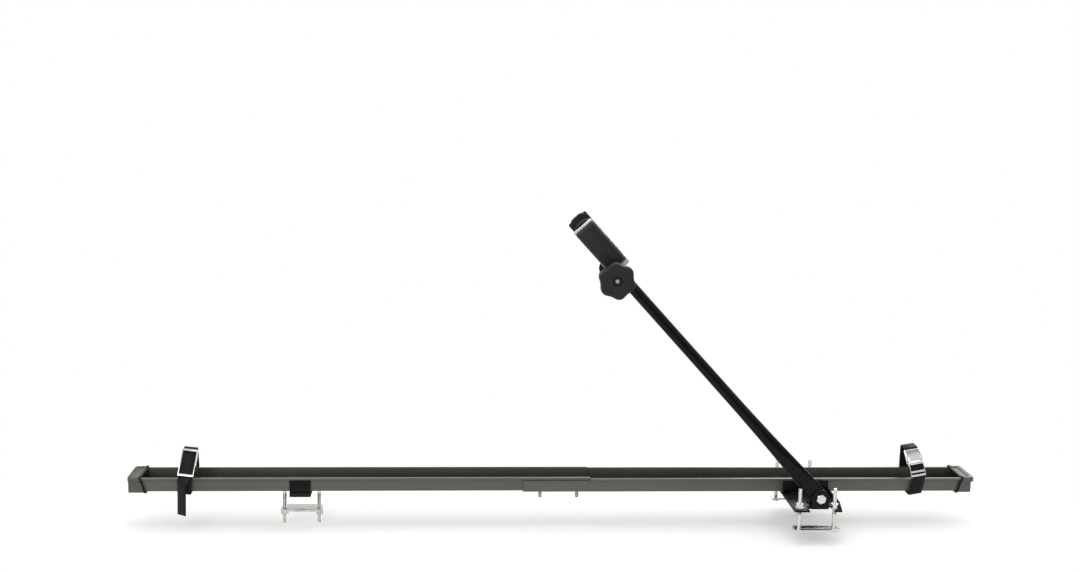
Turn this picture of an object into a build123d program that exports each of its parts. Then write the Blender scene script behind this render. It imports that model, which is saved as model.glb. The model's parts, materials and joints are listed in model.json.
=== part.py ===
from build123d import *
import os
from math import atan2, cos, degrees, hypot, radians, sin, tan

# A roof-mounted bike carrier. +X points to the front wheel's end, +Y away from the arm's side, +Z up.
# The origin is the middle of the front bar seat, where the front pad rests on the roof bar.
os.makedirs("parts", exist_ok=True)

# Roof bars that the brackets sit on
bar_gap = 780.0
bar_height = 25.0
bar_width = 32.0

# Wheel channel: two halves, the rear one nesting in the front one
sheet = 1.5
channel_width = 58.0
channel_height = 22.0
channel_bend = 3.0
lip_width = 3.0
lip_height = 3.5
nest_gap = 0.2
rear_tip_x = -1039.0
front_tip_x = 267.0
overlap_x = -440.0
overlap_length = 103.5
overlap_cut = 3.7
joint_bolt_inset = 28.5
joint_bolt_gap = 57.5
joint_bolt_length = 20.0

# End caps
cap_wall = 2.5
cap_side = 1.8
cap_length = 19.0
cap_slant = 8.5
cap_fit = 0.2
cap_lid = 1.3
cap_rim = 1.2
cap_rim_drop = 2.0
rear_cap_rim_out = 1.4
front_cap_rim_out = 4.4
cap_corner = 6.0

# Brackets
plate = 3.0
saddle_wall = 2.0
saddle_height = 18.0
saddle_fit = 0.1
rear_saddle_length = 32.0
front_saddle_length = 72.0
front_pad_thick = 2.0
stud_edge = 0.5
base_near_y = -116.0
base_far_y = 60.0
base_flange_height = 9.0
ear_notch = 6.0
notch_near_y = -94.0

# Clamp bolts and plates
clamp_bolt_gap = 53.0
near_stud_y = -106.0
far_stud_y = 50.0
stud_rise = 31.0
lower_plate_length = 70.0
lower_plate_width = 22.0
rear_plate_length = 63.0
rear_plate_width = 30.0
rear_bolt_tail = 13.0
slide_fit = 0.35

# Fasteners
m6 = 6.0
m6_flats = 10.0
m6_nut = 6.0
m6_head = 4.0
m6_dome = 13.0
m6_dome_height = 3.0
washer_thick = 1.6
m6_washer = 12.0
m8 = 8.0
m8_flats = 13.0
m8_nut = 8.0
m8_head = 5.3
m8_dome = 18.0
m8_dome_height = 4.5
m8_washer = 20.0
square_neck = 3.0
round_sides = 16
run_fit = 0.05

# Arm
pivot_x = 6.0
pivot_z = 18.8
arm_y = -94.0
arm_angle = 132.6
tongue_width = 25.6
tongue_thick = 8.0
tongue_length = 22.0
tongue_corner = 3.0
ear_fit = 0.3
ear_edge = 0.4
tube_top = 17.2
tube_wall = 1.5
tube_length = 438.0
set_start = 48.0
weld_y = -57.65

# Frame clamp: its bolt, jaw plates and jaws follow the tube's end, and sit across the arm's middle line
bolt_past_tube = 15.0
jaw_plate_past_tube = 18.0
jaw_past_tube = 26.0
jaw_length = 78.0
jaw_width = 33.4
jaw_offset = -5.3
jaw_plate_past = 3.0
jaw_plate_margin = 0.5
bolt_across = 10.2
plate_lobe = 14.0
tube_gap = 66.0
pad_thick = 13.0
pad_groove = 6.0
pad_inset = 1.0
pad_past = 6.0
pad_corner = 11.0
pad_flat = 8.0
pad_tooth = 2.0
pad_tooth_rise = 1.5
cover_thick = 13.0
rear_cover_thick = 8.5
cover_corner = 4.0
rear_cover_corner = 15.0
cover_shoulder = 0.65
cover_taper = 38.0
spine_length = 55.0
spine_width = 11.4
spine_corner = 3.3
spine_high = 1.0
knob_radius = 28.0
knob_core = 25.0
knob_lobes = 6
knob_lobe = 8.7
knob_phase = 27.4
knob_thick = 18.0
knob_hub = 20.0
knob_recess = 16.0
knob_recess_depth = 5.0
knob_edge = 2.5
knob_clear = 2.5
bolt_show = 2.5

# Wheel straps and their cam buckles
strap_width = 20.0
strap_thick = 2.0
strap_clear = 0.35
strap_bend = 1.55
strap_fold = 3.0
strap_slack = 0.5
rear_strap_top = 61.0
front_strap_top = 65.5
rear_strap_top_half = 3.0
front_strap_top_half = 10.0
rear_strap_x = -954.0
front_strap_x = 182.0
rear_strap_lean = 6.0
front_strap_lean = -10.0
tail_width = 18.0
tail_thick = 1.6
tail_drop = 32.0
tail_swing = 4.0
buckle_length = 44.0
buckle_wall = 1.3
buckle_slack = 0.5
buckle_bar = 3.0
lever_at = 21.0
lever_high = 4.2
lever_reach = 20.0
lever_pin = 3.0
lever_hub = 2.9
lever_fit = 0.4
pin_past = 0.6
strap_gap = 0.4

# Heights and places that follow
base_top = front_pad_thick + plate
rail_z = base_top + saddle_wall
rear_rail_z = rail_z + sheet
rear_x = -bar_gap
overlap_end_x = overlap_x + overlap_length
inner_width = channel_width - 2 * sheet - 2 * nest_gap
lower_z = -bar_height
pad_half = bar_width / 2
base_half = clamp_bolt_gap / 2 + m6_washer / 2 + plate + stud_edge
rear_rail_end_x = rear_tip_x + rear_cap_rim_out + cap_wall
front_rail_end_x = front_tip_x - front_cap_rim_out - cap_wall
bolt_along = tube_length + bolt_past_tube
jaw_plate_start = tube_length + jaw_plate_past_tube
jaw_start = tube_length + jaw_past_tube
jaw_end = jaw_start + jaw_length
jaw_plate_end = jaw_end + jaw_plate_past


# The small fasteners are many-sided: their shanks lie inside the true circle, their holes outside it
def round_hole(bore, mode=Mode.SUBTRACT):
    return RegularPolygon(bore / 2, round_sides, major_radius=False, mode=mode)


def square_hole(shank, mode=Mode.SUBTRACT):
    return Rectangle(shank + 2 * slide_fit, shank + 2 * slide_fit, mode=mode)


def hex_nut(bore, flats, height):
    with BuildPart() as nut:
        with BuildSketch():
            RegularPolygon(flats / 2, 6, major_radius=False)
            round_hole(bore + 2 * run_fit)
        extrude(amount=height)
    return nut.part


def washer(bore, outer):
    with BuildPart() as ring:
        with BuildSketch():
            RegularPolygon(outer / 2, round_sides)
            round_hole(bore + 2 * slide_fit)
        extrude(amount=washer_thick)
    return ring.part


# A coach bolt hangs down from its tapered head, whose flat underside is at height 0, with a square neck
def coach_bolt(shank, length, dome, dome_height):
    with BuildPart() as bolt:
        with BuildSketch():
            RegularPolygon(shank / 2, round_sides)
        extrude(amount=-length)
        with BuildSketch():
            Rectangle(shank, shank)
        extrude(amount=-square_neck)
        with BuildSketch():
            RegularPolygon(dome / 2, round_sides)
        extrude(amount=dome_height, taper=45)
    return bolt.part


# A hex bolt stands up from its head, whose upper face is at height 0
def hex_bolt(shank, length, flats, head):
    with BuildPart() as bolt:
        with BuildSketch():
            RegularPolygon(shank / 2, round_sides)
        extrude(amount=length)
        with BuildSketch():
            RegularPolygon(flats / 2, 6, major_radius=False)
        extrude(amount=-head)
    return bolt.part


# The open U of a channel half, drawn across the rail with its floor's underside at bottom
def channel_profile(width, bottom):
    half = width / 2
    top = bottom + channel_height
    with BuildSketch() as profile:
        with Locations((0, bottom)):
            Rectangle(width, channel_height, align=(Align.CENTER, Align.MIN))
        fillet(profile.vertices().group_by(Axis.Y)[0], channel_bend)
        with BuildSketch() as hollow:
            with Locations((0, bottom + sheet)):
                Rectangle(width - 2 * sheet, channel_height, align=(Align.CENTER, Align.MIN))
            fillet(hollow.vertices().group_by(Axis.Y)[0], channel_bend - sheet)
        add(hollow.sketch, mode=Mode.SUBTRACT)
        for side in (-1, 1):
            with Locations((side * (half + lip_width / 2 - sheet / 4), top - lip_height / 2)):
                RectangleRounded(lip_width + sheet / 2, lip_height, sheet * 0.6)
    return profile.sketch


rear_profile = channel_profile(inner_width, rear_rail_z)
front_profile = channel_profile(channel_width, rail_z)
joint_x = [overlap_x + joint_bolt_inset, overlap_x + joint_bolt_inset + joint_bolt_gap]
rear_bolt_x = [rear_x + side * clamp_bolt_gap / 2 for side in (-1, 1)]
front_bolt_x = [side * clamp_bolt_gap / 2 for side in (-1, 1)]
rail_bolt_x = [side * (pad_half + m6_flats) for side in (-1, 1)]

# Rear half of the channel, the inner one
with BuildPart() as rail_rear_half:
    with BuildSketch(Plane.YZ.offset(rear_rail_end_x)):
        add(rear_profile)
    extrude(amount=overlap_end_x - rear_rail_end_x)
    with BuildSketch(Plane.XY.offset(rear_rail_z)):
        with Locations([(x, 0) for x in joint_x + rear_bolt_x]):
            square_hole(m6, mode=Mode.ADD)
    extrude(amount=sheet, mode=Mode.SUBTRACT)
rail_rear_half.part.label = "rail_rear_half"
export_step(rail_rear_half.part, "parts/rail_rear_half.step")

# Front half of the channel, the outer one: its lips are cut away where the rear half lies in it
with BuildPart() as rail_front_half:
    with BuildSketch(Plane.YZ.offset(overlap_x)):
        add(front_profile)
    extrude(amount=front_rail_end_x - overlap_x)
    with BuildSketch(Plane.XZ.offset(-channel_width)):
        with Locations((overlap_x, rail_z + channel_height)):
            Rectangle(overlap_length + 2 * nest_gap, overlap_cut, align=(Align.MIN, Align.MAX))
    extrude(amount=2 * channel_width, mode=Mode.SUBTRACT)
    cut_corners = rail_front_half.edges().filter_by(Axis.Y).group_by(Axis.X)[0].group_by(Axis.Z)[-1]
    chamfer(cut_corners, sheet * 1.5)
    with BuildSketch(Plane.XY.offset(rail_z)):
        with Locations([(x, 0) for x in joint_x + rail_bolt_x]):
            square_hole(m6, mode=Mode.ADD)
    extrude(amount=sheet, mode=Mode.SUBTRACT)
rail_front_half.part.label = "rail_front_half"
export_step(rail_front_half.part, "parts/rail_front_half.step")


# An end cap: a moulded U round the channel's outside, an end wall, a lid and a rim over the lips
def end_cap(width, bottom, tip, way, rim_out):
    outer = width + 2 * (cap_fit + cap_side)
    low = bottom - cap_fit - cap_side
    top = bottom + channel_height
    lip_low = top - lip_height
    rim_top = top + cap_fit + cap_lid
    lip_half = width / 2 + lip_width + cap_fit
    lid_half = width / 2 - sheet - cap_fit
    start = tip - way * (cap_length + cap_slant)
    wall = tip - way * rim_out
    rim_low = lip_low - cap_rim_drop
    with BuildPart() as cap:
        with BuildSketch(Plane.YZ.offset(start)) as shell:
            with Locations((0, low)):
                Rectangle(outer, lip_low - low, align=(Align.CENTER, Align.MIN))
            fillet(shell.vertices().group_by(Axis.Y)[0], channel_bend + cap_side)
        extrude(amount=wall - start)
        # The rim's corners are round in plan, and its upper edge is bevelled
        with BuildSketch(Plane.XY.offset(rim_low)) as rim:
            with Locations(((start + tip) / 2, 0)):
                Rectangle(abs(tip - start), 2 * (lip_half + cap_rim))
            fillet(rim.vertices().group_by(Axis.X)[-1 if way > 0 else 0], cap_corner)
        extrude(amount=rim_top - rim_low)
        chamfer(cap.faces().sort_by(Axis.Z)[-1].edges(), cap_lid * 0.7)
        # The channel with its lips lies in the cap, and the lid between its walls
        with BuildSketch(Plane.YZ.offset(start)) as channel:
            with Locations((0, bottom - cap_fit)):
                Rectangle(width + 2 * cap_fit, channel_height + 2 * cap_fit, align=(Align.CENTER, Align.MIN))
            fillet(channel.vertices().group_by(Axis.Y)[0], channel_bend)
            with Locations((0, lip_low - cap_fit)):
                Rectangle(2 * lip_half, lip_height + 2 * cap_fit, align=(Align.CENTER, Align.MIN))
            with Locations((0, top - cap_lid)):
                Rectangle(2 * lid_half, 2 * cap_lid, align=(Align.CENTER, Align.MIN), mode=Mode.SUBTRACT)
        extrude(amount=wall - way * cap_wall - start, mode=Mode.SUBTRACT)
        with BuildSketch(Plane.XY.offset(top)):
            with Locations((wall - way * cap_wall, 0)):
                Rectangle(
                    2 * abs(tip - start),
                    2 * (lid_half - cap_rim),
                    align=(Align.MAX if way > 0 else Align.MIN, Align.CENTER),
                )
        extrude(amount=2 * cap_lid, mode=Mode.SUBTRACT)
        # The inner edge slants, longer at the bottom
        with BuildSketch(Plane.XZ.offset(-outer)):
            with BuildLine():
                Polyline(
                    (start - way, low - 1),
                    (start, low - 1),
                    (start + way * cap_slant, rim_top + 1),
                    (start - way, rim_top + 1),
                    close=True,
                )
            make_face()
        extrude(amount=2 * outer, mode=Mode.SUBTRACT)
    return cap.part


with BuildPart() as rear_end_cap:
    add(end_cap(inner_width, rear_rail_z, rear_tip_x, -1, rear_cap_rim_out))
rear_end_cap.part.label = "rear_end_cap"
export_step(rear_end_cap.part, "parts/rear_end_cap.step")

with BuildPart() as front_end_cap:
    add(end_cap(channel_width, rail_z, front_tip_x, 1, front_cap_rim_out))
front_end_cap.part.label = "front_end_cap"
export_step(front_end_cap.part, "parts/front_end_cap.step")

# The channel halves are joined by two coach bolts with their nuts below
joint_bolt = coach_bolt(m6, joint_bolt_length, m6_dome, m6_dome_height)
with BuildPart() as rail_joint_bolts:
    with Locations([(x, 0, rear_rail_z + sheet) for x in joint_x]):
        add(joint_bolt)
rail_joint_bolts.part.label = "rail_joint_bolts"
export_step(rail_joint_bolts.part, "parts/rail_joint_bolts.step")

m6_hex_nut = hex_nut(m6, m6_flats, m6_nut)
m6_flat_washer = washer(m6, m6_washer)
with BuildPart() as rail_joint_nuts:
    with Locations([(x, 0, rail_z - m6_nut) for x in joint_x]):
        add(m6_hex_nut)
rail_joint_nuts.part.label = "rail_joint_nuts"
export_step(rail_joint_nuts.part, "parts/rail_joint_nuts.step")


# A saddle is a folded strap that goes under the channel and up both its walls
def saddle_profile(width, bottom):
    inner = width + 2 * saddle_fit
    with BuildSketch() as profile:
        with Locations((0, bottom - saddle_wall)):
            Rectangle(inner + 2 * saddle_wall, saddle_height + saddle_wall, align=(Align.CENTER, Align.MIN))
        fillet(profile.vertices().group_by(Axis.Y)[0], channel_bend + saddle_wall * 0.6)
        with BuildSketch() as hollow:
            with Locations((0, bottom)):
                Rectangle(inner, saddle_height, align=(Align.CENTER, Align.MIN))
            fillet(hollow.vertices().group_by(Axis.Y)[0], channel_bend)
        add(hollow.sketch, mode=Mode.SUBTRACT)
    return profile.sketch


# Rear bracket: saddle and pad on the bar, bolts beside it, plate and nuts under it
with BuildPart() as rear_saddle:
    with BuildSketch(Plane.YZ.offset(rear_x - rear_saddle_length / 2)):
        add(saddle_profile(inner_width, rear_rail_z))
    extrude(amount=rear_saddle_length)
rear_saddle.part.label = "rear_saddle"
export_step(rear_saddle.part, "parts/rear_saddle.step")

rear_pad_top = rear_rail_z - saddle_wall
with BuildPart() as rear_pad:
    with BuildSketch(Plane.XY):
        with Locations((rear_x, 0)):
            Rectangle(bar_width, channel_width)
    extrude(amount=rear_pad_top)
rear_pad.part.label = "rear_pad"
export_step(rear_pad.part, "parts/rear_pad.step")

rear_bolt_low = lower_z - plate - washer_thick - m6_nut - rear_bolt_tail
rear_bolt = coach_bolt(m6, rear_rail_z + sheet - rear_bolt_low, m6_dome, m6_dome_height)
with BuildPart() as rear_bolts:
    with Locations([(x, 0, rear_rail_z + sheet) for x in rear_bolt_x]):
        add(rear_bolt)
rear_bolts.part.label = "rear_bolts"
export_step(rear_bolts.part, "parts/rear_bolts.step")


# A lower clamp plate lies across the bar's underside, with rounded corners
def lower_plate(length, width, at_x, at_y):
    with BuildPart() as clamp:
        with BuildSketch(Plane.XY.offset(lower_z - plate)):
            with Locations((at_x, at_y)):
                RectangleRounded(length, width, width * 0.2)
                with GridLocations(clamp_bolt_gap, 0, 2, 1):
                    round_hole(m6 + 2 * slide_fit)
        extrude(amount=plate)
    return clamp.part


with BuildPart() as rear_clamp_plate:
    add(lower_plate(rear_plate_length, rear_plate_width, rear_x, 0))
rear_clamp_plate.part.label = "rear_clamp_plate"
export_step(rear_clamp_plate.part, "parts/rear_clamp_plate.step")

with BuildPart() as rear_washers:
    with Locations([(x, 0, lower_z - plate - washer_thick) for x in rear_bolt_x]):
        add(m6_flat_washer)
rear_washers.part.label = "rear_washers"
export_step(rear_washers.part, "parts/rear_washers.step")

with BuildPart() as rear_nuts:
    with Locations([(x, 0, lower_z - plate - washer_thick - m6_nut) for x in rear_bolt_x]):
        add(m6_hex_nut)
rear_nuts.part.label = "rear_nuts"
export_step(rear_nuts.part, "parts/rear_nuts.step")

# Front base: a folded plate along the roof bar, with side flanges and the near pivot ear
near_ear_back = arm_y - tongue_thick / 2 - ear_fit
near_ear_front = near_ear_back - plate
far_ear_front = arm_y + tongue_thick / 2 + ear_fit
far_ear_back = far_ear_front + plate
ear_radius = tongue_width / 2 + ear_edge
saddle_half = channel_width / 2 + saddle_fit + saddle_wall
with BuildPart() as front_base:
    with BuildSketch(Plane.XY.offset(front_pad_thick)) as plan:
        with Locations((0, (base_near_y + base_far_y) / 2)):
            Rectangle(2 * base_half, base_far_y - base_near_y)
        # Reliefs on both sides of the folded ear, and the ear's own blank
        for edge, align in ((pivot_x - ear_radius, Align.MAX), (pivot_x + ear_radius, Align.MIN)):
            with Locations((edge, base_near_y)):
                Rectangle(ear_notch, notch_near_y - base_near_y, align=(align, Align.MIN), mode=Mode.SUBTRACT)
        with Locations((pivot_x, base_near_y)):
            Rectangle(2 * ear_radius, near_ear_front - base_near_y, align=(Align.CENTER, Align.MIN),
                      mode=Mode.SUBTRACT)
        with Locations([(x, y) for x in front_bolt_x for y in (near_stud_y, far_stud_y)]):
            round_hole(m6 + 2 * slide_fit)
        with Locations([(x, 0) for x in rail_bolt_x]):
            round_hole(m6 + 2 * slide_fit)
    extrude(amount=plate)
    # The ear stands up from the plate's near edge
    with BuildSketch(Plane.XZ.offset(-near_ear_back)):
        with Locations((pivot_x, front_pad_thick)):
            Rectangle(2 * ear_radius, pivot_z - front_pad_thick, align=(Align.CENTER, Align.MIN))
        with Locations((pivot_x, pivot_z)):
            Circle(ear_radius)
            Circle(m8 / 2 + run_fit, mode=Mode.SUBTRACT)
    extrude(amount=plate)
    # The flanges stand on the front side's edge, before and behind the saddle, the near one pointed
    with BuildSketch(Plane.YZ.offset(base_half - plate)):
        with BuildLine():
            Polyline(
                (base_near_y, front_pad_thick),
                (-saddle_half, front_pad_thick),
                (-saddle_half, base_top + base_flange_height),
                (base_near_y + 2 * base_flange_height, base_top + base_flange_height),
                (base_near_y, base_top),
                close=True,
            )
        make_face()
        with BuildLine():
            Polyline(
                (saddle_half, front_pad_thick),
                (base_far_y, front_pad_thick),
                (base_far_y, base_top),
                (base_far_y - base_flange_height, base_top + base_flange_height),
                (saddle_half, base_top + base_flange_height),
                close=True,
            )
        make_face()
    extrude(amount=plate)
front_base.part.label = "front_base"
export_step(front_base.part, "parts/front_base.step")

with BuildPart() as front_saddle:
    with BuildSketch(Plane.YZ.offset(-front_saddle_length / 2)):
        add(saddle_profile(channel_width, rail_z))
    extrude(amount=front_saddle_length)
    with BuildSketch(Plane.XY.offset(base_top)):
        with Locations([(x, 0) for x in rail_bolt_x]):
            square_hole(m6, mode=Mode.ADD)
    extrude(amount=saddle_wall, mode=Mode.SUBTRACT)
front_saddle.part.label = "front_saddle"
export_step(front_saddle.part, "parts/front_saddle.step")

pad_near_y = near_stud_y + m6_washer
pad_far_y = far_stud_y - m6_washer
with BuildPart() as front_pad:
    with BuildSketch(Plane.XY):
        with Locations((0, (pad_near_y + pad_far_y) / 2)):
            Rectangle(bar_width, pad_far_y - pad_near_y)
    extrude(amount=front_pad_thick)
front_pad.part.label = "front_pad"
export_step(front_pad.part, "parts/front_pad.step")

rail_bolt_length = sheet + saddle_wall + plate + m6_nut + sheet
rail_bolt = coach_bolt(m6, rail_bolt_length, m6_dome, m6_dome_height)
with BuildPart() as front_rail_bolts:
    with Locations([(x, 0, rail_z + sheet) for x in rail_bolt_x]):
        add(rail_bolt)
front_rail_bolts.part.label = "front_rail_bolts"
export_step(front_rail_bolts.part, "parts/front_rail_bolts.step")

with BuildPart() as front_rail_nuts:
    with Locations([(x, 0, front_pad_thick - m6_nut) for x in rail_bolt_x]):
        add(m6_hex_nut)
front_rail_nuts.part.label = "front_rail_nuts"
export_step(front_rail_nuts.part, "parts/front_rail_nuts.step")

# Near and far bar clamps: bolts up from the lower plate, nuts on the base
stud_length = base_top + stud_rise - lower_z + plate
stud = hex_bolt(m6, stud_length, m6_flats, m6_head)
for side, stud_y in (("near", near_stud_y), ("far", far_stud_y)):
    with BuildPart() as clamp_plate:
        add(lower_plate(lower_plate_length, lower_plate_width, 0, stud_y))
    clamp_plate.part.label = f"{side}_clamp_plate"
    export_step(clamp_plate.part, f"parts/{side}_clamp_plate.step")

    with BuildPart() as clamp_bolts:
        with Locations([(x, stud_y, lower_z - plate) for x in front_bolt_x]):
            add(stud)
    clamp_bolts.part.label = f"{side}_clamp_bolts"
    export_step(clamp_bolts.part, f"parts/{side}_clamp_bolts.step")

    with BuildPart() as clamp_washers:
        with Locations([(x, stud_y, base_top) for x in front_bolt_x]):
            add(m6_flat_washer)
    clamp_washers.part.label = f"{side}_clamp_washers"
    export_step(clamp_washers.part, f"parts/{side}_clamp_washers.step")

    with BuildPart() as clamp_nuts:
        with Locations([(x, stud_y, base_top + washer_thick) for x in front_bolt_x]):
            add(m6_hex_nut)
    clamp_nuts.part.label = f"{side}_clamp_nuts"
    export_step(clamp_nuts.part, f"parts/{side}_clamp_nuts.step")

# The far ear is an angle welded to the base behind the arm's tongue
with BuildPart() as pivot_ear:
    with BuildSketch(Plane.XZ.offset(-far_ear_back)):
        with Locations((pivot_x, base_top)):
            Rectangle(2 * ear_radius, pivot_z - base_top, align=(Align.CENTER, Align.MIN))
        with Locations((pivot_x, pivot_z)):
            Circle(ear_radius)
            Circle(m8 / 2 + run_fit, mode=Mode.SUBTRACT)
    extrude(amount=plate)
    with BuildSketch(Plane.XY.offset(base_top)):
        with Locations((pivot_x, far_ear_back)):
            Rectangle(2 * ear_radius, m8_flats + m8_nut, align=(Align.CENTER, Align.MIN))
    extrude(amount=plate)
pivot_ear.part.label = "pivot_ear"
export_step(pivot_ear.part, "parts/pivot_ear.step")

pivot_reach = far_ear_back - near_ear_front + m8_nut + sheet
pivot_plane = Plane(origin=(pivot_x, near_ear_front, pivot_z), x_dir=(1, 0, 0), z_dir=(0, 1, 0))
with BuildPart() as pivot_bolt:
    add(pivot_plane.location * hex_bolt(m8, pivot_reach, m8_flats, m8_head))
pivot_bolt.part.label = "pivot_bolt"
export_step(pivot_bolt.part, "parts/pivot_bolt.step")

pivot_nut_plane = Plane(origin=(pivot_x, far_ear_back, pivot_z), x_dir=(1, 0, 0), z_dir=(0, 1, 0))
with BuildPart() as pivot_nut:
    add(pivot_nut_plane.location * hex_nut(m8, m8_flats, m8_nut))
pivot_nut.part.label = "pivot_nut"
export_step(pivot_nut.part, "parts/pivot_nut.step")

# Arm directions: along it from the pivot, and across it towards the rear end's underside
along = Vector(cos(radians(arm_angle)), 0, sin(radians(arm_angle)))
across = Vector(-sin(radians(arm_angle)), 0, cos(radians(arm_angle)))
near = Vector(0, -1, 0)
pivot_point = Vector(pivot_x, 0, pivot_z)


# A sketch plane facing the near side, its X along the arm and its Y across it
def face_plane(y):
    return Plane(origin=pivot_point + Vector(0, y, 0), x_dir=along, z_dir=near)


# A point of the tube's line, which is set over towards the channel from set_start on
set_angle = degrees(atan2(weld_y - arm_y, tube_length - set_start))
tube_way = along * cos(radians(set_angle)) - near * sin(radians(set_angle))


def tube_plane(distance):
    lean = max(distance - set_start, 0) * tan(radians(set_angle))
    origin = pivot_point + along * distance + Vector(0, arm_y + lean, 0)
    way = tube_way if distance > set_start else along
    return Plane(origin=origin, x_dir=across, z_dir=way)


flat_to_round = [
    (tongue_length, tongue_width, tongue_thick, tongue_corner),
    (70.0, 23.0, 13.0, 6.0),
    (130.0, 19.6, 16.4, 8.0),
]
with BuildPart() as arm_tube:
    with BuildSketch(face_plane(arm_y + tongue_thick / 2)):
        Circle(tongue_width / 2)
        Rectangle(tongue_length, tongue_width, align=(Align.MIN, Align.CENTER))
    extrude(amount=tongue_thick)
    rim = arm_tube.faces().filter_by(Axis.Y).edges()
    outer_rim = [edge for edge in rim if (edge.center() - pivot_point).dot(along) < tongue_length - 1]
    chamfer(outer_rim, tongue_corner * 0.6)
    for distance, width, thick, corner in flat_to_round:
        with BuildSketch(tube_plane(distance)):
            RectangleRounded(width, thick, corner)
    loft(ruled=True)
    last_distance, last_width, last_thick, last_corner = flat_to_round[-1]
    with BuildSketch(tube_plane(last_distance)):
        RectangleRounded(last_width, last_thick, last_corner)
    with BuildSketch(tube_plane(tube_length)):
        RectangleRounded(tube_top, tube_top, tube_top / 2 - 0.1)
    loft(ruled=True)
    with BuildSketch(tube_plane(tube_length)):
        Circle(tube_top / 2 - tube_wall)
    extrude(amount=-(tube_length - last_distance - set_start) / cos(radians(set_angle)), mode=Mode.SUBTRACT)
    with BuildSketch(face_plane(arm_y)):
        Circle(m8 / 2 + run_fit)
    extrude(amount=tongue_thick, both=True, mode=Mode.SUBTRACT)
arm_tube.part.label = "arm_tube"
export_step(arm_tube.part, "parts/arm_tube.step")

# Jaw plates: chromed sheet as wide as the covers, with a lobe round the clamp bolt. The rear one
# holds the bolt's square neck, and the front one lets its shank turn and slide
front_plate_near = -tube_gap / 2 - pad_thick - plate
rear_plate_near = tube_gap / 2 + pad_thick


def jaw_plate(near_y, square):
    with BuildPart() as jaw:
        with BuildSketch(face_plane(near_y + plate)) as outline:
            with Locations((jaw_plate_start, jaw_offset)):
                Rectangle(
                    jaw_plate_end - jaw_plate_start,
                    jaw_width + 2 * jaw_plate_margin,
                    align=(Align.MIN, Align.CENTER),
                )
            fillet(outline.vertices(), plate)
            with Locations((bolt_along, bolt_across)):
                Circle(plate_lobe)
            with Locations((bolt_along - plate_lobe * 2, 0)):
                Rectangle(plate_lobe * 2 + plate, tube_top, align=(Align.MIN, Align.CENTER))
            with Locations((bolt_along, bolt_across)):
                if square:
                    Rectangle(m8 + 2 * run_fit, m8 + 2 * run_fit, mode=Mode.SUBTRACT)
                else:
                    round_hole(m8 + 2 * slide_fit)
        extrude(amount=plate)
    return jaw.part


with BuildPart() as front_jaw_plate:
    add(jaw_plate(front_plate_near, False))
front_jaw_plate.part.label = "front_jaw_plate"
export_step(front_jaw_plate.part, "parts/front_jaw_plate.step")

with BuildPart() as rear_jaw_plate:
    add(jaw_plate(rear_plate_near, True))
rear_jaw_plate.part.label = "rear_jaw_plate"
export_step(rear_jaw_plate.part, "parts/rear_jaw_plate.step")

jaw_middle = (jaw_start + jaw_end) / 2


# A moulded cover on a jaw plate, from its plane towards the near side when way is 1
def jaw_cover(y, thick, way, corner):
    with BuildPart() as cover:
        with BuildSketch(face_plane(y)):
            with Locations((jaw_middle, jaw_offset)):
                RectangleRounded(jaw_length, jaw_width, corner)
        extrude(amount=way * thick * cover_shoulder)
        with BuildSketch(face_plane(y - way * thick * cover_shoulder)):
            with Locations((jaw_middle, jaw_offset)):
                RectangleRounded(jaw_length, jaw_width, corner)
        extrude(amount=way * thick * (1 - cover_shoulder), taper=cover_taper)
        # A raised spine runs along the cover's middle
        with BuildSketch(face_plane(y - way * thick)):
            with Locations((jaw_middle, jaw_offset)):
                RectangleRounded(spine_length, spine_width, spine_corner)
        extrude(amount=way * spine_high)
    return cover.part


with BuildPart() as front_jaw_cover:
    add(jaw_cover(front_plate_near, cover_thick, 1, cover_corner))
front_jaw_cover.part.label = "front_jaw_cover"
export_step(front_jaw_cover.part, "parts/front_jaw_cover.step")

with BuildPart() as rear_jaw_cover:
    add(jaw_cover(rear_plate_near + plate, rear_cover_thick, -1, rear_cover_corner))
rear_jaw_cover.part.label = "rear_jaw_cover"
export_step(rear_jaw_cover.part, "parts/rear_jaw_cover.step")


# A rubber pad with a V groove across it, ribbed where it grips the frame tube, its upper end round
def jaw_pad(y, way):
    side_plane = Plane(
        origin=pivot_point + along * jaw_middle + across * jaw_offset + Vector(0, y, 0),
        x_dir=along,
        z_dir=across,
    )
    half = jaw_length / 2 - pad_inset
    end = jaw_length / 2 + pad_past
    slope = (pad_groove - pad_tooth_rise) / (half - pad_flat)
    with BuildPart() as pad:
        with BuildSketch(side_plane):
            with BuildLine():
                Polyline(
                    (-half, 0),
                    (end, 0),
                    (end, way * pad_thick),
                    (half - pad_flat, way * pad_thick),
                    (0, way * (pad_thick - pad_groove)),
                    (pad_flat - half, way * pad_thick),
                    (-half, way * pad_thick),
                    close=True,
                )
            make_face()
            for step in range(1, 4):
                for side in (-1, 1):
                    tooth = step * (half - pad_flat) / 4
                    depth = pad_thick - pad_groove + slope * tooth + pad_tooth * 0.2
                    with Locations((side * tooth, way * depth)):
                        Rectangle(pad_tooth, pad_tooth, rotation=45, mode=Mode.SUBTRACT)
        extrude(amount=jaw_width / 2 - pad_inset, both=True)
        far_edges = pad.edges().filter_by(Axis.Y).sort_by(lambda edge: edge.center().dot(along))[-2:]
        fillet(far_edges, pad_corner)
    return pad.part


with BuildPart() as front_jaw_pad:
    add(jaw_pad(front_plate_near + plate, 1))
front_jaw_pad.part.label = "front_jaw_pad"
export_step(front_jaw_pad.part, "parts/front_jaw_pad.step")

with BuildPart() as rear_jaw_pad:
    add(jaw_pad(rear_plate_near, -1))
rear_jaw_pad.part.label = "rear_jaw_pad"
export_step(rear_jaw_pad.part, "parts/rear_jaw_pad.step")

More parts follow.
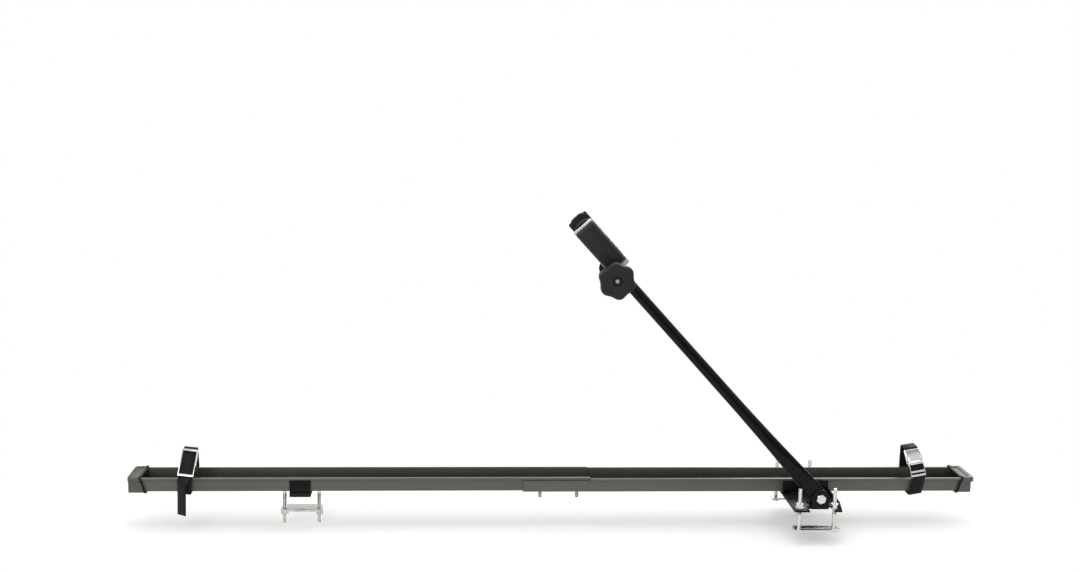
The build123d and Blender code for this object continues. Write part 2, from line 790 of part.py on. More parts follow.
# Clamp bolt, washer and knob
bolt_axis = pivot_point + along * bolt_along + across * bolt_across
knob_back = front_plate_near - washer_thick - ear_fit
knob_body_back = weld_y - tube_top / 2 - knob_clear
knob_front = knob_body_back - knob_thick
bolt_tip = knob_front + knob_recess_depth - bolt_show


def knob_plane(y):
    return Plane(origin=bolt_axis + Vector(0, y, 0), x_dir=along, z_dir=near)


bolt_seat = rear_plate_near + plate
head_plane = Plane(origin=bolt_axis + Vector(0, bolt_seat, 0), x_dir=along, z_dir=(0, 1, 0))
with BuildPart() as clamp_bolt:
    add(head_plane.location * coach_bolt(m8, bolt_seat - bolt_tip, m8_dome, m8_dome_height))
clamp_bolt.part.label = "clamp_bolt"
export_step(clamp_bolt.part, "parts/clamp_bolt.step")

with BuildPart() as clamp_washer:
    add(knob_plane(front_plate_near).location * washer(m8, m8_washer))
clamp_washer.part.label = "clamp_washer"
export_step(clamp_washer.part, "parts/clamp_washer.step")

insert_deep = m8_nut
with BuildPart() as clamp_knob:
    with BuildSketch(knob_plane(knob_body_back)) as star:
        Circle(knob_core)
        with PolarLocations(knob_radius - knob_lobe, knob_lobes, start_angle=knob_phase):
            Circle(knob_lobe)
        fillet(star.vertices(), knob_lobe * 0.6)
    extrude(amount=knob_thick)
    chamfer(clamp_knob.faces().filter_by(Axis.Y).sort_by(Axis.Y)[0].edges(), knob_edge)
    with BuildSketch(knob_plane(knob_back)):
        Circle(knob_hub / 2)
    extrude(amount=knob_back - knob_body_back)
    with BuildSketch(knob_plane(knob_front)):
        Circle(knob_recess / 2)
    extrude(amount=-knob_recess_depth, mode=Mode.SUBTRACT)
    with BuildSketch(knob_plane(knob_back)):
        Circle(m8 / 2 + slide_fit)
    extrude(amount=knob_back - knob_front, mode=Mode.SUBTRACT)
    with BuildSketch(knob_plane(knob_back)):
        RegularPolygon(m8_flats / 2, 6, major_radius=False)
    extrude(amount=insert_deep, mode=Mode.SUBTRACT)
clamp_knob.part.label = "clamp_knob"
export_step(clamp_knob.part, "parts/clamp_knob.step")

with BuildPart() as knob_insert:
    with BuildSketch(knob_plane(knob_back)):
        RegularPolygon(m8_flats / 2, 6, major_radius=False)
        Circle(m8 / 2 + run_fit, mode=Mode.SUBTRACT)
    extrude(amount=insert_deep)
knob_insert.part.label = "knob_insert"
export_step(knob_insert.part, "parts/knob_insert.step")


# Wheel straps: a closed band under the channel, up its lips and over where the rim lies. A strap that
# leans reaches higher on one edge, so it turns in that much further above the lips
def lean_rise(lean):
    return strap_width / 2 * tan(radians(abs(lean)))


def strap_frame(at_x, floor_z, lean):
    return Plane(
        origin=(at_x, 0, floor_z),
        x_dir=(0, 1, 0),
        z_dir=(cos(radians(lean)), 0, -sin(radians(lean))),
    )


def strap_band(loop_plane, half, low, lip_top, top, top_half):
    with BuildSketch() as inside:
        with BuildLine():
            Polyline(
                (-half, low),
                (-half, lip_top),
                (-top_half, top),
                (top_half, top),
                (half, lip_top),
                (half, low),
                close=True,
            )
        make_face()
        fillet(inside.vertices().group_by(Axis.Y)[2], strap_fold)
        fillet(inside.vertices().group_by(Axis.Y)[1], 1.5 * strap_thick)
        fillet(inside.vertices().group_by(Axis.Y)[0], 2 * strap_thick)
    with BuildPart() as band:
        with BuildSketch(loop_plane):
            add(inside.sketch)
            offset(amount=strap_thick)
            add(inside.sketch, mode=Mode.SUBTRACT)
        extrude(amount=strap_width / 2, both=True)
    return band.part


# The buckle lies along the strap's near side: s runs up the strap and d out of it
def buckle_plane(loop_plane, half, lip_top, top, top_half, flip):
    rise = top - lip_top
    run = half - top_half
    length = hypot(run, rise)
    mid = strap_thick / 2
    start = (-half - mid * rise / length, lip_top + mid * run / length)
    origin = loop_plane.origin + loop_plane.x_dir * start[0] + loop_plane.y_dir * start[1]
    up = loop_plane.x_dir * (run / length) + loop_plane.y_dir * (rise / length)
    return Plane(origin=origin, x_dir=up, z_dir=loop_plane.z_dir * flip)


cheek_inner = strap_width / 2 + buckle_slack
cheek_outer = cheek_inner + buckle_wall
strap_half_thick = strap_thick / 2


def buckle_frame(at):
    low = -strap_half_thick - strap_gap - buckle_wall
    high = lever_high + lever_hub * 0.7
    with BuildPart() as frame:
        with BuildSketch(at):
            with BuildLine():
                Polyline(
                    (0, low),
                    (buckle_length, low),
                    (buckle_length, strap_half_thick + buckle_wall),
                    (buckle_length * 0.75, high),
                    (buckle_length * 0.3, high),
                    (0, strap_half_thick + strap_gap + buckle_wall),
                    close=True,
                )
            make_face()
            with Locations((lever_at, lever_high)):
                round_hole(lever_pin + 2 * run_fit)
        extrude(amount=cheek_outer, both=True)
        with BuildSketch(at):
            with Locations((buckle_length / 2, 0)):
                Rectangle(2 * buckle_length, 2 * buckle_length)
        extrude(amount=cheek_inner, both=True, mode=Mode.SUBTRACT)
        # Cross bars: two over the strap at the foot, one under it there and one under it at the top
        top_side = strap_half_thick + strap_gap
        bars = [
            (0, top_side),
            (2 * buckle_bar, top_side),
            (0, low),
            (buckle_length - buckle_bar, low),
        ]
        with BuildSketch(at):
            with Locations(bars):
                Rectangle(buckle_bar, buckle_wall, align=(Align.MIN, Align.MIN))
        extrude(amount=cheek_inner, both=True)
    return frame.part


def buckle_lever(at):
    plate_low = lever_high - lever_hub * 0.35
    with BuildPart() as lever:
        with BuildSketch(at) as side_view:
            with Locations((lever_at, plate_low)):
                Rectangle(lever_reach, buckle_wall * 1.4, align=(Align.MIN, Align.MIN))
            with BuildLine():
                Polyline(
                    (lever_at + lever_reach - 1, plate_low),
                    (lever_at + lever_reach + 2, plate_low + 1.6),
                    (lever_at + lever_reach + 1.2, plate_low + 3.2),
                    (lever_at + lever_reach - 1, plate_low + buckle_wall * 1.4),
                    close=True,
                )
            make_face()
            with Locations((lever_at, lever_high)):
                Circle(lever_hub)
                round_hole(lever_pin + 2 * run_fit)
        extrude(amount=cheek_inner - lever_fit, both=True)
    return lever.part


def buckle_pin(at):
    with BuildPart() as pin:
        with BuildSketch(at):
            with Locations((lever_at, lever_high)):
                RegularPolygon(lever_pin / 2, round_sides)
        extrude(amount=cheek_outer + pin_past, both=True)
    return pin.part


rear_lip = inner_width / 2 + lip_width
front_lip = channel_width / 2 + lip_width
wheel_straps = (
    ("rear", rear_strap_x, rear_rail_z, rear_strap_lean, rear_lip, rear_strap_top, rear_strap_top_half, -1),
    ("front", front_strap_x, rail_z, front_strap_lean, front_lip, front_strap_top, front_strap_top_half, 1),
)
for side, strap_x, floor_z, lean, lip, top, top_half, flip in wheel_straps:
    loop_plane = strap_frame(strap_x, floor_z, lean)
    strap_half = lip + strap_slack
    strap_low = -strap_clear - lean_rise(lean)
    bend_height = channel_height + strap_bend + lean_rise(lean)
    at = buckle_plane(loop_plane, strap_half, bend_height, top, top_half, flip)
    with BuildPart() as strap:
        add(strap_band(loop_plane, strap_half, strap_low, bend_height, top, top_half))
    strap.part.label = f"{side}_strap"
    export_step(strap.part, f"parts/{side}_strap.step")

    with BuildPart() as frame:
        add(buckle_frame(at))
    frame.part.label = f"{side}_buckle_frame"
    export_step(frame.part, f"parts/{side}_buckle_frame.step")

    with BuildPart() as lever:
        add(buckle_lever(at))
    lever.part.label = f"{side}_buckle_lever"
    export_step(lever.part, f"parts/{side}_buckle_lever.step")

    with BuildPart() as pin:
        add(buckle_pin(at))
    pin.part.label = f"{side}_buckle_pin"
    export_step(pin.part, f"parts/{side}_buckle_pin.step")

# The rear strap's free end lies on the strap's outside below the buckle, then hangs and swings out
tail_near = -(rear_lip + strap_slack + strap_thick)
tail_top = rear_rail_z + channel_height + strap_bend
tail_end = rear_rail_z - tail_drop
with BuildPart() as rear_strap_tail:
    with BuildSketch(Plane.YZ.offset(rear_strap_x - tail_width / 2)):
        with BuildLine():
            Polyline(
                (tail_near, tail_top),
                (tail_near, rear_rail_z),
                (tail_near - tail_swing, tail_end),
                (tail_near - tail_swing - tail_thick, tail_end),
                (tail_near - tail_thick, rear_rail_z),
                (tail_near - tail_thick, tail_top),
                close=True,
            )
        make_face()
    extrude(amount=tail_width)
rear_strap_tail.part.label = "rear_strap_tail"
export_step(rear_strap_tail.part, "parts/rear_strap_tail.step")
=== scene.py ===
import json
from math import atan2, copysign, cos, hypot, pi, radians, sin

import bmesh
import bpy
from mathutils import Matrix, Vector


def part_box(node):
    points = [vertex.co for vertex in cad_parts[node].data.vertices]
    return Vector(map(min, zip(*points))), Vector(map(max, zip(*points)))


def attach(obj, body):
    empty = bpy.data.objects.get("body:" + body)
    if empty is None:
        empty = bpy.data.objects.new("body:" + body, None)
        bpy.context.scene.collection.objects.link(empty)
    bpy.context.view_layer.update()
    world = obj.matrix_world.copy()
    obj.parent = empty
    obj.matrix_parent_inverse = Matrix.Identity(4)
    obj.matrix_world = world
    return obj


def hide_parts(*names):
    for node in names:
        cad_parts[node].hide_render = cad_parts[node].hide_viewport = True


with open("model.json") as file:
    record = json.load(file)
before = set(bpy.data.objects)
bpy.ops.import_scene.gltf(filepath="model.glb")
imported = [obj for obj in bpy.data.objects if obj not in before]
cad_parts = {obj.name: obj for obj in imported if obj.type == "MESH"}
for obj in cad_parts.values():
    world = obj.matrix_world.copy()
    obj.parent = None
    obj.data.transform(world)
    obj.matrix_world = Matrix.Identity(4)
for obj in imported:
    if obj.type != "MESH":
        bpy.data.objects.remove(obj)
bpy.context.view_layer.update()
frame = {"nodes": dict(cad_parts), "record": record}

print("frame loaded:", len(frame["nodes"]), "nodes")


# Camera, floor and lights

camera = {
    "eye": (-0.550, -2.135, 0.674),
    "yaw": 3.569,       # degrees towards the front end
    "pitch": 9.288,     # degrees down
    "roll": 0.949,
    "lens": 47.4,       # in millimetres, as the sensor
    "sensor": 36,
    "clipEnd": 60,
}

studio = {
    "floorHeight": -0.0495,     # the bracket bolts' ends stand on it
    "floorReach": (-6.0, -1.0, 6.0, 8.0),       # lowest X and Y, highest X and Y
    "floorColour": (0.80, 0.80, 0.795, 1),
    "floorGlow": 0.28,
    "fadeShift": (0.40, 0.02, 0.0495),      # puts the fade's middle below the carrier
    "fadeScale": (1.0, 2.2, 1.0),
    "fade": (0.55, 1.05),       # between these distances the floor turns as white as the sky
    "skyColour": (0.87, 0.868, 0.86, 1),
    "skyLight": 0.78,
    "darkCard": 0.50,       # share of the sky's light that is held back in front
    "cardFront": (-0.25, -0.70),        # the card's edge and its middle, by the direction's Y
    "cardHeight": (0.45, 0.20),     # and by the direction's Z
    "lamps": [
        # name, place, size, watts, aims at
        ("overheadSoftbox", (-0.3, 0.1, 2.6), 2.6, 26, (-0.4, 0, 0)),
        ("nearSoftbox", (-1.6, -2.4, 1.7), 1.6, 22, (-0.3, 0, 0.1)),
        ("backStrip", (0.9, 2.2, 1.2), 1.4, 16, (-0.3, 0, 0.1)),
    ],
}
white = (1, 1, 1, 1)


def addObject(name, data):
    item = bpy.data.objects.new(name, data)
    bpy.context.scene.collection.objects.link(item)
    return item


def setInputs(tree, node, values):
    # A value is set on its input, and another node's output is linked to it
    for key, value in values.items():
        socket = node.inputs[key.replace("_", " ")]
        if isinstance(value, bpy.types.NodeSocket):
            tree.links.new(value, socket)
        else:
            socket.default_value = value


def addNode(tree, kind, settings=None, **values):
    node = tree.nodes.new(kind)
    for key, value in (settings or {}).items():
        setattr(node, key, value)
    setInputs(tree, node, values)
    return node


def math(tree, operation, first, second=None):
    node = addNode(tree, "ShaderNodeMath", {"operation": operation})
    for slot, value in enumerate((first, second)):
        if isinstance(value, (int, float)):
            node.inputs[slot].default_value = value
        elif value is not None:
            tree.links.new(value, node.inputs[slot])
    return node.outputs[0]


def times(tree, first, second):
    return math(tree, "MULTIPLY", first, second)


def remap(tree, value, low, high, newLow=0.0, newHigh=1.0):
    return addNode(tree, "ShaderNodeMapRange", Value=value, From_Min=low, From_Max=high,
                   To_Min=newLow, To_Max=newHigh).outputs[0]


def splitAxes(tree, vector):
    return addNode(tree, "ShaderNodeSeparateXYZ", Vector=vector).outputs


def mixShaders(tree, share, first, second):
    mix = addNode(tree, "ShaderNodeMixShader")
    for slot, source in enumerate((share, first, second)):
        tree.links.new(source, mix.inputs[slot])
    return mix.outputs[0]


def cameraRay(tree):
    return addNode(tree, "ShaderNodeLightPath").outputs["Is Camera Ray"]


def addCamera(spec):
    data = bpy.data.cameras.new("photoCamera")
    data.lens = spec["lens"]
    data.sensor_width = spec["sensor"]
    data.clip_end = spec["clipEnd"]
    eye = addObject("photoCamera", data)
    turn = (
        Matrix.Rotation(radians(-spec["yaw"]), 4, "Z")
        @ Matrix.Rotation(radians(90 - spec["pitch"]), 4, "X")
        @ Matrix.Rotation(radians(spec["roll"]), 4, "Z")
    )
    eye.matrix_world = Matrix.Translation(spec["eye"]) @ turn
    bpy.context.scene.camera = eye


def addLamps(spec):
    for name, spot, size, watts, target in spec["lamps"]:
        data = bpy.data.lights.new(name, "AREA")
        data.size = size
        data.energy = watts
        lamp = addObject(name, data)
        lamp.location = spot
        lamp.rotation_euler = (Vector(target) - Vector(spot)).to_track_quat("-Z", "Y").to_euler()


def addSky(spec):
    world = bpy.data.worlds.new("studioSky")
    world.use_nodes = True
    tree = world.node_tree
    tree.nodes.clear()
    # A dark card stands low in front of the object, so that black paint stays black
    way = addNode(tree, "ShaderNodeTexCoord").outputs["Generated"]
    split = splitAxes(tree, way)
    front = remap(tree, split["Y"], *spec["cardFront"])
    low = remap(tree, math(tree, "ABSOLUTE", split["Z"]), *spec["cardHeight"])
    card = times(tree, times(tree, front, low), spec["darkCard"])
    strength = times(tree, math(tree, "SUBTRACT", 1.0, card), spec["skyLight"])
    light = addNode(tree, "ShaderNodeBackground", Color=spec["skyColour"], Strength=strength)
    seen = addNode(tree, "ShaderNodeBackground", Color=white)
    addNode(tree, "ShaderNodeOutputWorld",
            Surface=mixShaders(tree, cameraRay(tree), light.outputs[0], seen.outputs[0]))
    bpy.context.scene.world = world


def paintFloor(spec):
    paint = bpy.data.materials.new("floorWhite")
    paint.use_nodes = True
    tree = paint.node_tree
    shader = tree.nodes["Principled BSDF"]
    setInputs(tree, shader, {"Base Color": spec["floorColour"], "Roughness": 0.9, "Specular IOR Level": 0.1})
    # The camera sees the floor brighter than it is lit, and further away as white as the sky
    glow = addNode(tree, "ShaderNodeEmission", Color=white, Strength=spec["floorGlow"])
    blank = addNode(tree, "ShaderNodeEmission", Color=white, Strength=1.0)
    where = addNode(tree, "ShaderNodeTexCoord").outputs["Object"]
    centred = addNode(tree, "ShaderNodeMapping", Vector=where, Location=spec["fadeShift"], Scale=spec["fadeScale"])
    reach = addNode(tree, "ShaderNodeVectorMath", {"operation": "LENGTH"}, Vector=centred.outputs[0])
    fade = addNode(tree, "ShaderNodeMapRange", {"interpolation_type": "SMOOTHSTEP"}, Value=reach.outputs["Value"],
                   From_Min=spec["fade"][0], From_Max=spec["fade"][1])
    both = addNode(tree, "ShaderNodeAddShader")
    tree.links.new(shader.outputs[0], both.inputs[0])
    tree.links.new(glow.outputs[0], both.inputs[1])
    ground = mixShaders(tree, fade.outputs[0], both.outputs[0], blank.outputs[0])
    seen = mixShaders(tree, cameraRay(tree), shader.outputs[0], ground)
    tree.links.new(seen, tree.nodes["Material Output"].inputs["Surface"])
    return paint


def addFloor(spec):
    lowX, lowY, highX, highY = spec["floorReach"]
    shape = bmesh.new()
    bmesh.ops.create_grid(shape, x_segments=1, y_segments=1, size=0.5)
    bmesh.ops.scale(shape, verts=shape.verts, vec=(highX - lowX, highY - lowY, 1))
    middle = ((lowX + highX) / 2, (lowY + highY) / 2, spec["floorHeight"])
    bmesh.ops.translate(shape, verts=shape.verts, vec=middle)
    mesh = bpy.data.meshes.new("studioFloor")
    shape.to_mesh(mesh)
    shape.free()
    mesh.materials.append(paintFloor(spec))
    addObject("studioFloor", mesh)


addCamera(camera)
addLamps(studio)
addSky(studio)
addFloor(studio)
bpy.context.scene.view_settings.view_transform = "Standard"
print("studio ready")


# Shader groups that the finishes share

def newGroup(name, inputs, outputs):
    # A default tells an input's kind: a colour, a number, or None for a vector
    group = bpy.data.node_groups.new(name, "ShaderNodeTree")
    for label, value in inputs.items():
        kind = "Vector" if value is None else "Color" if isinstance(value, tuple) else "Float"
        socket = group.interface.new_socket(label, in_out="INPUT", socket_type="NodeSocket" + kind)
        if value is not None:
            socket.default_value = value
    for label in outputs:
        kind = "Color" if label == "Colour" else "Float"
        group.interface.new_socket(label, in_out="OUTPUT", socket_type="NodeSocket" + kind)
    return group, group.nodes.new("NodeGroupInput").outputs, group.nodes.new("NodeGroupOutput")


def addNoise(tree, where, scale, detail, roughness):
    return addNode(tree, "ShaderNodeTexNoise", Vector=where, Scale=scale, Detail=detail, Roughness=roughness).outputs[0]


def mixColour(tree, mask, first, second):
    blend = addNode(tree, "ShaderNodeMix", {"data_type": "RGBA"})
    tree.links.new(mask, blend.inputs[0])
    for slot, value in ((6, first), (7, second)):       # the node's colour inputs A and B
        if isinstance(value, tuple):
            blend.inputs[slot].default_value = (*value, 1)
        else:
            tree.links.new(value, blend.inputs[slot])
    return blend.outputs[2]


def tintUnder(tree, given, out, mask, tint):
    # Mixes a tint into the group's colour under a mask, by the group's Amount
    mask = times(tree, mask, given["Amount"])
    setInputs(tree, out, {"Colour": mixColour(tree, mask, given["Colour"], tint)})
    return mask


def makeGrainGroup():
    # Fine grain: a height, and a mask of a broad mottle
    tree, given, out = newGroup("surfaceGrain", {"Vector": None, "Size": 900.0, "Mottle Size": 25.0},
                                ("Height", "Mottle"))
    broad = addNoise(tree, given["Vector"], given["Mottle Size"], 4.0, 0.55)
    setInputs(tree, out, {"Height": addNoise(tree, given["Vector"], given["Size"], 3.0, 0.6),
                          "Mottle": remap(tree, broad, 0.3, 0.7)})
    return tree


def makeScuffGroup():
    # Thin random scratches, longer along the channel than across it
    tree, given, out = newGroup("fineScuffs", {"Vector": None, "Amount": 0.5}, ("Mask",))
    stretch = addNode(tree, "ShaderNodeMapping", Vector=given["Vector"], Scale=(18.0, 240.0, 240.0),
                      Rotation=(0.1, 0.12, 0.05))
    thin = remap(tree, addNoise(tree, stretch.outputs[0], 1.0, 5.0, 0.7), 0.60, 0.68)
    setInputs(tree, out, {"Mask": times(tree, thin, given["Amount"])})
    return tree


def makeDustGroup():
    # A thin film of dust on faces that look up
    tree, given, out = newGroup(
        "dustFilm", {"Colour": (0.1, 0.1, 0.1, 1), "Dust": (0.35, 0.33, 0.30, 1), "Vector": None, "Amount": 0.15},
        ("Colour", "Mask"))
    normal = addNode(tree, "ShaderNodeNewGeometry").outputs["Normal"]
    up = remap(tree, splitAxes(tree, normal)["Z"], 0.3, 1.0)
    patches = remap(tree, addNoise(tree, given["Vector"], 60.0, 6.0, 0.65), 0.35, 0.7, 0.25, 1.0)
    setInputs(tree, out, {"Mask": tintUnder(tree, given, out, times(tree, up, patches), given["Dust"])})
    return tree


def makeRubAndHighlightGroup():
    # Paint rubbed thin on the faces that the pieces mark as worn, broken up by a noise; on the channel's lip tops the
    # same mark is a painted highlight
    tree, given, out = newGroup(
        "rubbedEdges", {"Colour": (0.1, 0.1, 0.1, 1), "Rubbed": (0.3, 0.3, 0.3, 1), "Vector": None, "Amount": 0.4},
        ("Colour",))
    wearAndHighlight = addNode(tree, "ShaderNodeAttribute", {"attribute_name": "edgeWearAndHighlight"}).outputs["Fac"]
    breaks = remap(tree, addNoise(tree, given["Vector"], 140.0, 5.0, 0.7), 0.42, 0.62, 0.1, 1.0)
    tintUnder(tree, given, out, times(tree, wearAndHighlight, breaks), given["Rubbed"])
    return tree


def makeInsideShadeGroup():
    # Painted shade inside the channel: the faces that the pieces mark are darkened, most of all low down
    tree, given, out = newGroup(
        "channelInsideShade", {"Colour": (0.1, 0.1, 0.1, 1), "Vector": None, "Amount": 0.5, "Low": 0.0, "High": 1.0},
        ("Colour",))
    inside = addNode(tree, "ShaderNodeAttribute", {"attribute_name": "inside"}).outputs["Fac"]
    height = splitAxes(tree, given["Vector"])["Z"]
    depth = remap(tree, height, given["Low"], given["High"], 1.0, 0.3)
    tintUnder(tree, given, out, times(tree, inside, depth), (0.003, 0.003, 0.003))
    return tree


def makeWeaveGroup():
    # Webbing: slanted warp cords side by side, crossed by picks, on the strap's own UV in metres
    tree, given, out = newGroup("webbingWeave", {"Cord Width": 0.0011, "Pick Length": 0.0016}, ("Height", "Shade"))
    split = splitAxes(tree, addNode(tree, "ShaderNodeUVMap", {"uv_map": "strapUV"}).outputs[0])
    across = math(tree, "DIVIDE", split["Y"], given["Cord Width"])
    along = math(tree, "DIVIDE", split["X"], given["Pick Length"])
    cord = math(tree, "ABSOLUTE", math(tree, "SINE", times(tree, across, pi)))
    shifted = math(tree, "ADD", along, times(tree, math(tree, "FLOOR", across), 0.5))
    pick = math(tree, "ABSOLUTE", math(tree, "SINE", times(tree, shifted, pi)))
    ridge = math(tree, "ADD", times(tree, pick, 0.5), 0.5)
    height = times(tree, math(tree, "POWER", cord, 0.6), ridge)
    setInputs(tree, out, {"Height": height, "Shade": remap(tree, height, 0.0, 1.0, 0.35, 1.0)})
    return tree


grainGroup = makeGrainGroup()
scuffGroup = makeScuffGroup()
dustGroup = makeDustGroup()
rubAndHighlightGroup = makeRubAndHighlightGroup()
insideGroup = makeInsideShadeGroup()
weaveGroup = makeWeaveGroup()


def useGroup(tree, group, **values):
    return addNode(tree, "ShaderNodeGroup", {"node_tree": group}, **values).outputs


def startMaterial(name, spec):
    material = bpy.data.materials.new(name)
    material.use_nodes = True
    tree = material.node_tree
    shader = tree.nodes["Principled BSDF"]
    setInputs(tree, shader, {
        "Base Color": (*spec["colour"], 1), "Metallic": spec.get("metal", 0.0), "Roughness": spec["roughness"],
        "Coat Weight": spec.get("coat", 0.0), "Coat Roughness": spec.get("coatRoughness", 0.05),
        "Specular IOR Level": spec.get("specular", 0.5)})
    where = addNode(tree, "ShaderNodeTexCoord").outputs["Object"]
    grain = useGroup(tree, grainGroup, Vector=where, Size=spec["grainSize"], Mottle_Size=spec["mottleSize"])
    return material, tree, shader, where, grain


def addBump(tree, shader, height, depth):
    bump = addNode(tree, "ShaderNodeBump", Height=height, Strength=1.0, Distance=depth)
    tree.links.new(bump.outputs[0], shader.inputs["Normal"])


def addShare(tree, value, mask, share):
    return math(tree, "ADD", value, times(tree, mask, share))


# What sets a coating's roughness, its range, the shares that it is turned into, and what scuffs and dust add
paint = {"by": "Mottle", "from": (0.0, 1.0), "to": (0.85, 1.2), "scuffed": 0.15, "dusty": 0.5}
plating = {"by": "Mottle", "from": (0.0, 1.0), "to": (0.7, 1.3), "scuffed": 0.2}
moulding = {"by": "Height", "from": (0.3, 0.7), "to": (0.85, 1.15)}


# Two mottled tones over a fine grain, with worn edges, scuffs, dust, painted shade inside and a painted highlight on
# the lips, where they are named
def makeCoating(name, spec, kind):
    material, tree, shader, where, grain = startMaterial(name, spec)
    colour = mixColour(tree, grain["Mottle"], spec["colour"], spec["light"])
    rough = remap(tree, grain[kind["by"]], *kind["from"], *(spec["roughness"] * share for share in kind["to"]))
    if "scuffs" in spec:
        scuffs = useGroup(tree, scuffGroup, Vector=where, Amount=spec["scuffs"])
        rough = addShare(tree, rough, scuffs["Mask"], kind["scuffed"])
    # Rubbed edges, and on the channel a painted highlight on its lips and rounded edges
    if "rub" in spec:
        colour = useGroup(tree, rubAndHighlightGroup, Vector=where, Colour=colour, Rubbed=(*spec["rubbed"], 1),
                          Amount=spec["rub"])["Colour"]
    if "dust" in spec:
        dust = useGroup(tree, dustGroup, Vector=where, Colour=colour, Amount=spec["dust"])
        colour = dust["Colour"]
        if "dusty" in kind:
            rough = addShare(tree, rough, dust["Mask"], kind["dusty"])
    # Painted shade: darkens the channel's inner faces, more low down
    if "inside" in spec:
        low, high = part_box("rail_front_half")
        colour = useGroup(tree, insideGroup, Vector=where, Colour=colour, Amount=spec["inside"], Low=low.z,
                          High=high.z)["Colour"]
    setInputs(tree, shader, {"Base Color": colour, "Roughness": rough})
    addBump(tree, shader, grain["Height"], spec["grainDepth"])
    return material


def makeWebbing(name, spec, kind):
    material, tree, shader, where, grain = startMaterial(name, spec)
    weave = useGroup(tree, weaveGroup, Cord_Width=spec["cordWidth"], Pick_Length=spec["pickLength"])
    shade = times(tree, weave["Shade"], remap(tree, grain["Mottle"], 0, 1, *kind["fade"]))
    setInputs(tree, shader, {"Base Color": mixColour(tree, shade, spec["shadow"], spec["colour"]),
                             "Sheen Weight": spec["sheen"], "Sheen Roughness": kind["sheenRoughness"]})
    addBump(tree, shader, addShare(tree, weave["Height"], grain["Height"], kind["fuzz"]), spec["depth"])
    return material


woven = {"fade": (0.8, 1.1), "fuzz": 0.15, "sheenRoughness": 0.4}
finishes = {
    # name: how it is made, its kind, the record's material slot, its values
    # channelPaint also darkens the channel's inside as painted shade and brightens its lips as a painted highlight
    "channelPaint": (makeCoating, paint, "rail_paint", {
        "colour": (0.098, 0.0945, 0.084), "light": (0.116, 0.1115, 0.1), "roughness": 0.34, "specular": 0.4,
        "coat": 0.25, "coatRoughness": 0.16, "grainSize": 420, "grainDepth": 0.00002, "mottleSize": 9,
        "scuffs": 0.3, "dust": 0.02, "rubbed": (0.21, 0.205, 0.19), "rub": 0.6, "inside": 0.85}),
    "bracketPaint": (makeCoating, paint, "bracket_paint", {
        "colour": (0.0034, 0.0031, 0.0026), "light": (0.006, 0.0056, 0.0048), "roughness": 0.38, "specular": 0.15,
        "coat": 0.05, "coatRoughness": 0.18, "grainSize": 500, "grainDepth": 0.00003, "mottleSize": 30,
        "scuffs": 0.4, "dust": 0.05, "rubbed": (0.045, 0.042, 0.038), "rub": 0.5}),
    "armPaint": (makeCoating, paint, "arm_paint", {
        "colour": (0.0015, 0.0014, 0.0014), "light": (0.0028, 0.0026, 0.0025), "roughness": 0.12, "specular": 0.12,
        "coat": 0.15, "coatRoughness": 0.05, "grainSize": 450, "grainDepth": 0.00001, "mottleSize": 20,
        "scuffs": 0.25, "dust": 0.02, "rubbed": (0.03, 0.03, 0.03), "rub": 0.3}),
    "zincPlate": (makeCoating, plating, "zinc", {
        "colour": (0.78, 0.775, 0.75), "light": (0.9, 0.895, 0.87), "metal": 1, "roughness": 0.28,
        "grainSize": 1400, "grainDepth": 0.00001, "mottleSize": 120, "scuffs": 0.4}),
    "chromePlate": (makeCoating, plating, "chrome", {
        "colour": (0.84, 0.84, 0.835), "light": (0.93, 0.93, 0.925), "metal": 1, "roughness": 0.12,
        "grainSize": 1600, "grainDepth": 0.000004, "mottleSize": 80, "scuffs": 0.3}),
    "jawPlating": (makeCoating, plating, "chrome", {
        "colour": (0.8, 0.8, 0.79), "light": (0.9, 0.9, 0.89), "metal": 1, "roughness": 0.36,
        "grainSize": 1600, "grainDepth": 0.000003, "mottleSize": 80, "scuffs": 0.3}),
    "gripPlastic": (makeCoating, moulding, "moulded", {
        "colour": (0.0135, 0.012, 0.01), "light": (0.0205, 0.0185, 0.016), "roughness": 0.44, "specular": 0.38,
        "grainSize": 1900, "grainDepth": 0.00005, "mottleSize": 40, "dust": 0.05}),
    "capPlastic": (makeCoating, moulding, "cap_plastic", {
        "colour": (0.088, 0.085, 0.076), "light": (0.108, 0.104, 0.094), "roughness": 0.45, "specular": 0.4,
        "grainSize": 1700, "grainDepth": 0.00005, "mottleSize": 60, "dust": 0.06}),
    "padRubber": (makeCoating, moulding, "rubber", {
        "colour": (0.0075, 0.0073, 0.007), "light": (0.014, 0.0137, 0.013), "roughness": 0.72, "specular": 0.25,
        "grainSize": 1200, "grainDepth": 0.00008, "mottleSize": 70, "dust": 0.1}),
    "strapWebbing": (makeWebbing, woven, "webbing", {
        "colour": (0.0125, 0.012, 0.0118), "shadow": (0.0015, 0.0015, 0.0015), "roughness": 0.62, "specular": 0.22,
        "cordWidth": 0.00125, "pickLength": 0.0018, "depth": 0.00025, "sheen": 0.06, "grainSize": 2500,
        "mottleSize": 90}),
}
materials = {name: make(name, spec, kind) for name, (make, kind, slot, spec) in finishes.items()}
print("finishes ready")

# The body that each node and its piece ride on
nodeBody = {node: body for body, nodes in frame["record"]["behaviour"]["bodies"].items() for node in nodes}


def keepPiece(shape, name, finish, node=None, body=None, fold=35):
    # Edges that turn by more than fold, in degrees, stay sharp
    mesh = bpy.data.meshes.new(name)
    shape.to_mesh(mesh)
    shape.free()
    if "custom_normal" in mesh.attributes:
        mesh.attributes.remove(mesh.attributes["custom_normal"])
    mesh.shade_smooth()
    mesh.set_sharp_from_angle(angle=radians(fold))
    mesh.materials.append(materials[finish])
    piece = addObject(name, mesh)
    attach(piece, body or nodeBody[node])
    if node:
        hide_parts(node)
    return piece


def titleName(node):
    return node.replace("_", " ").title().replace(" ", "")


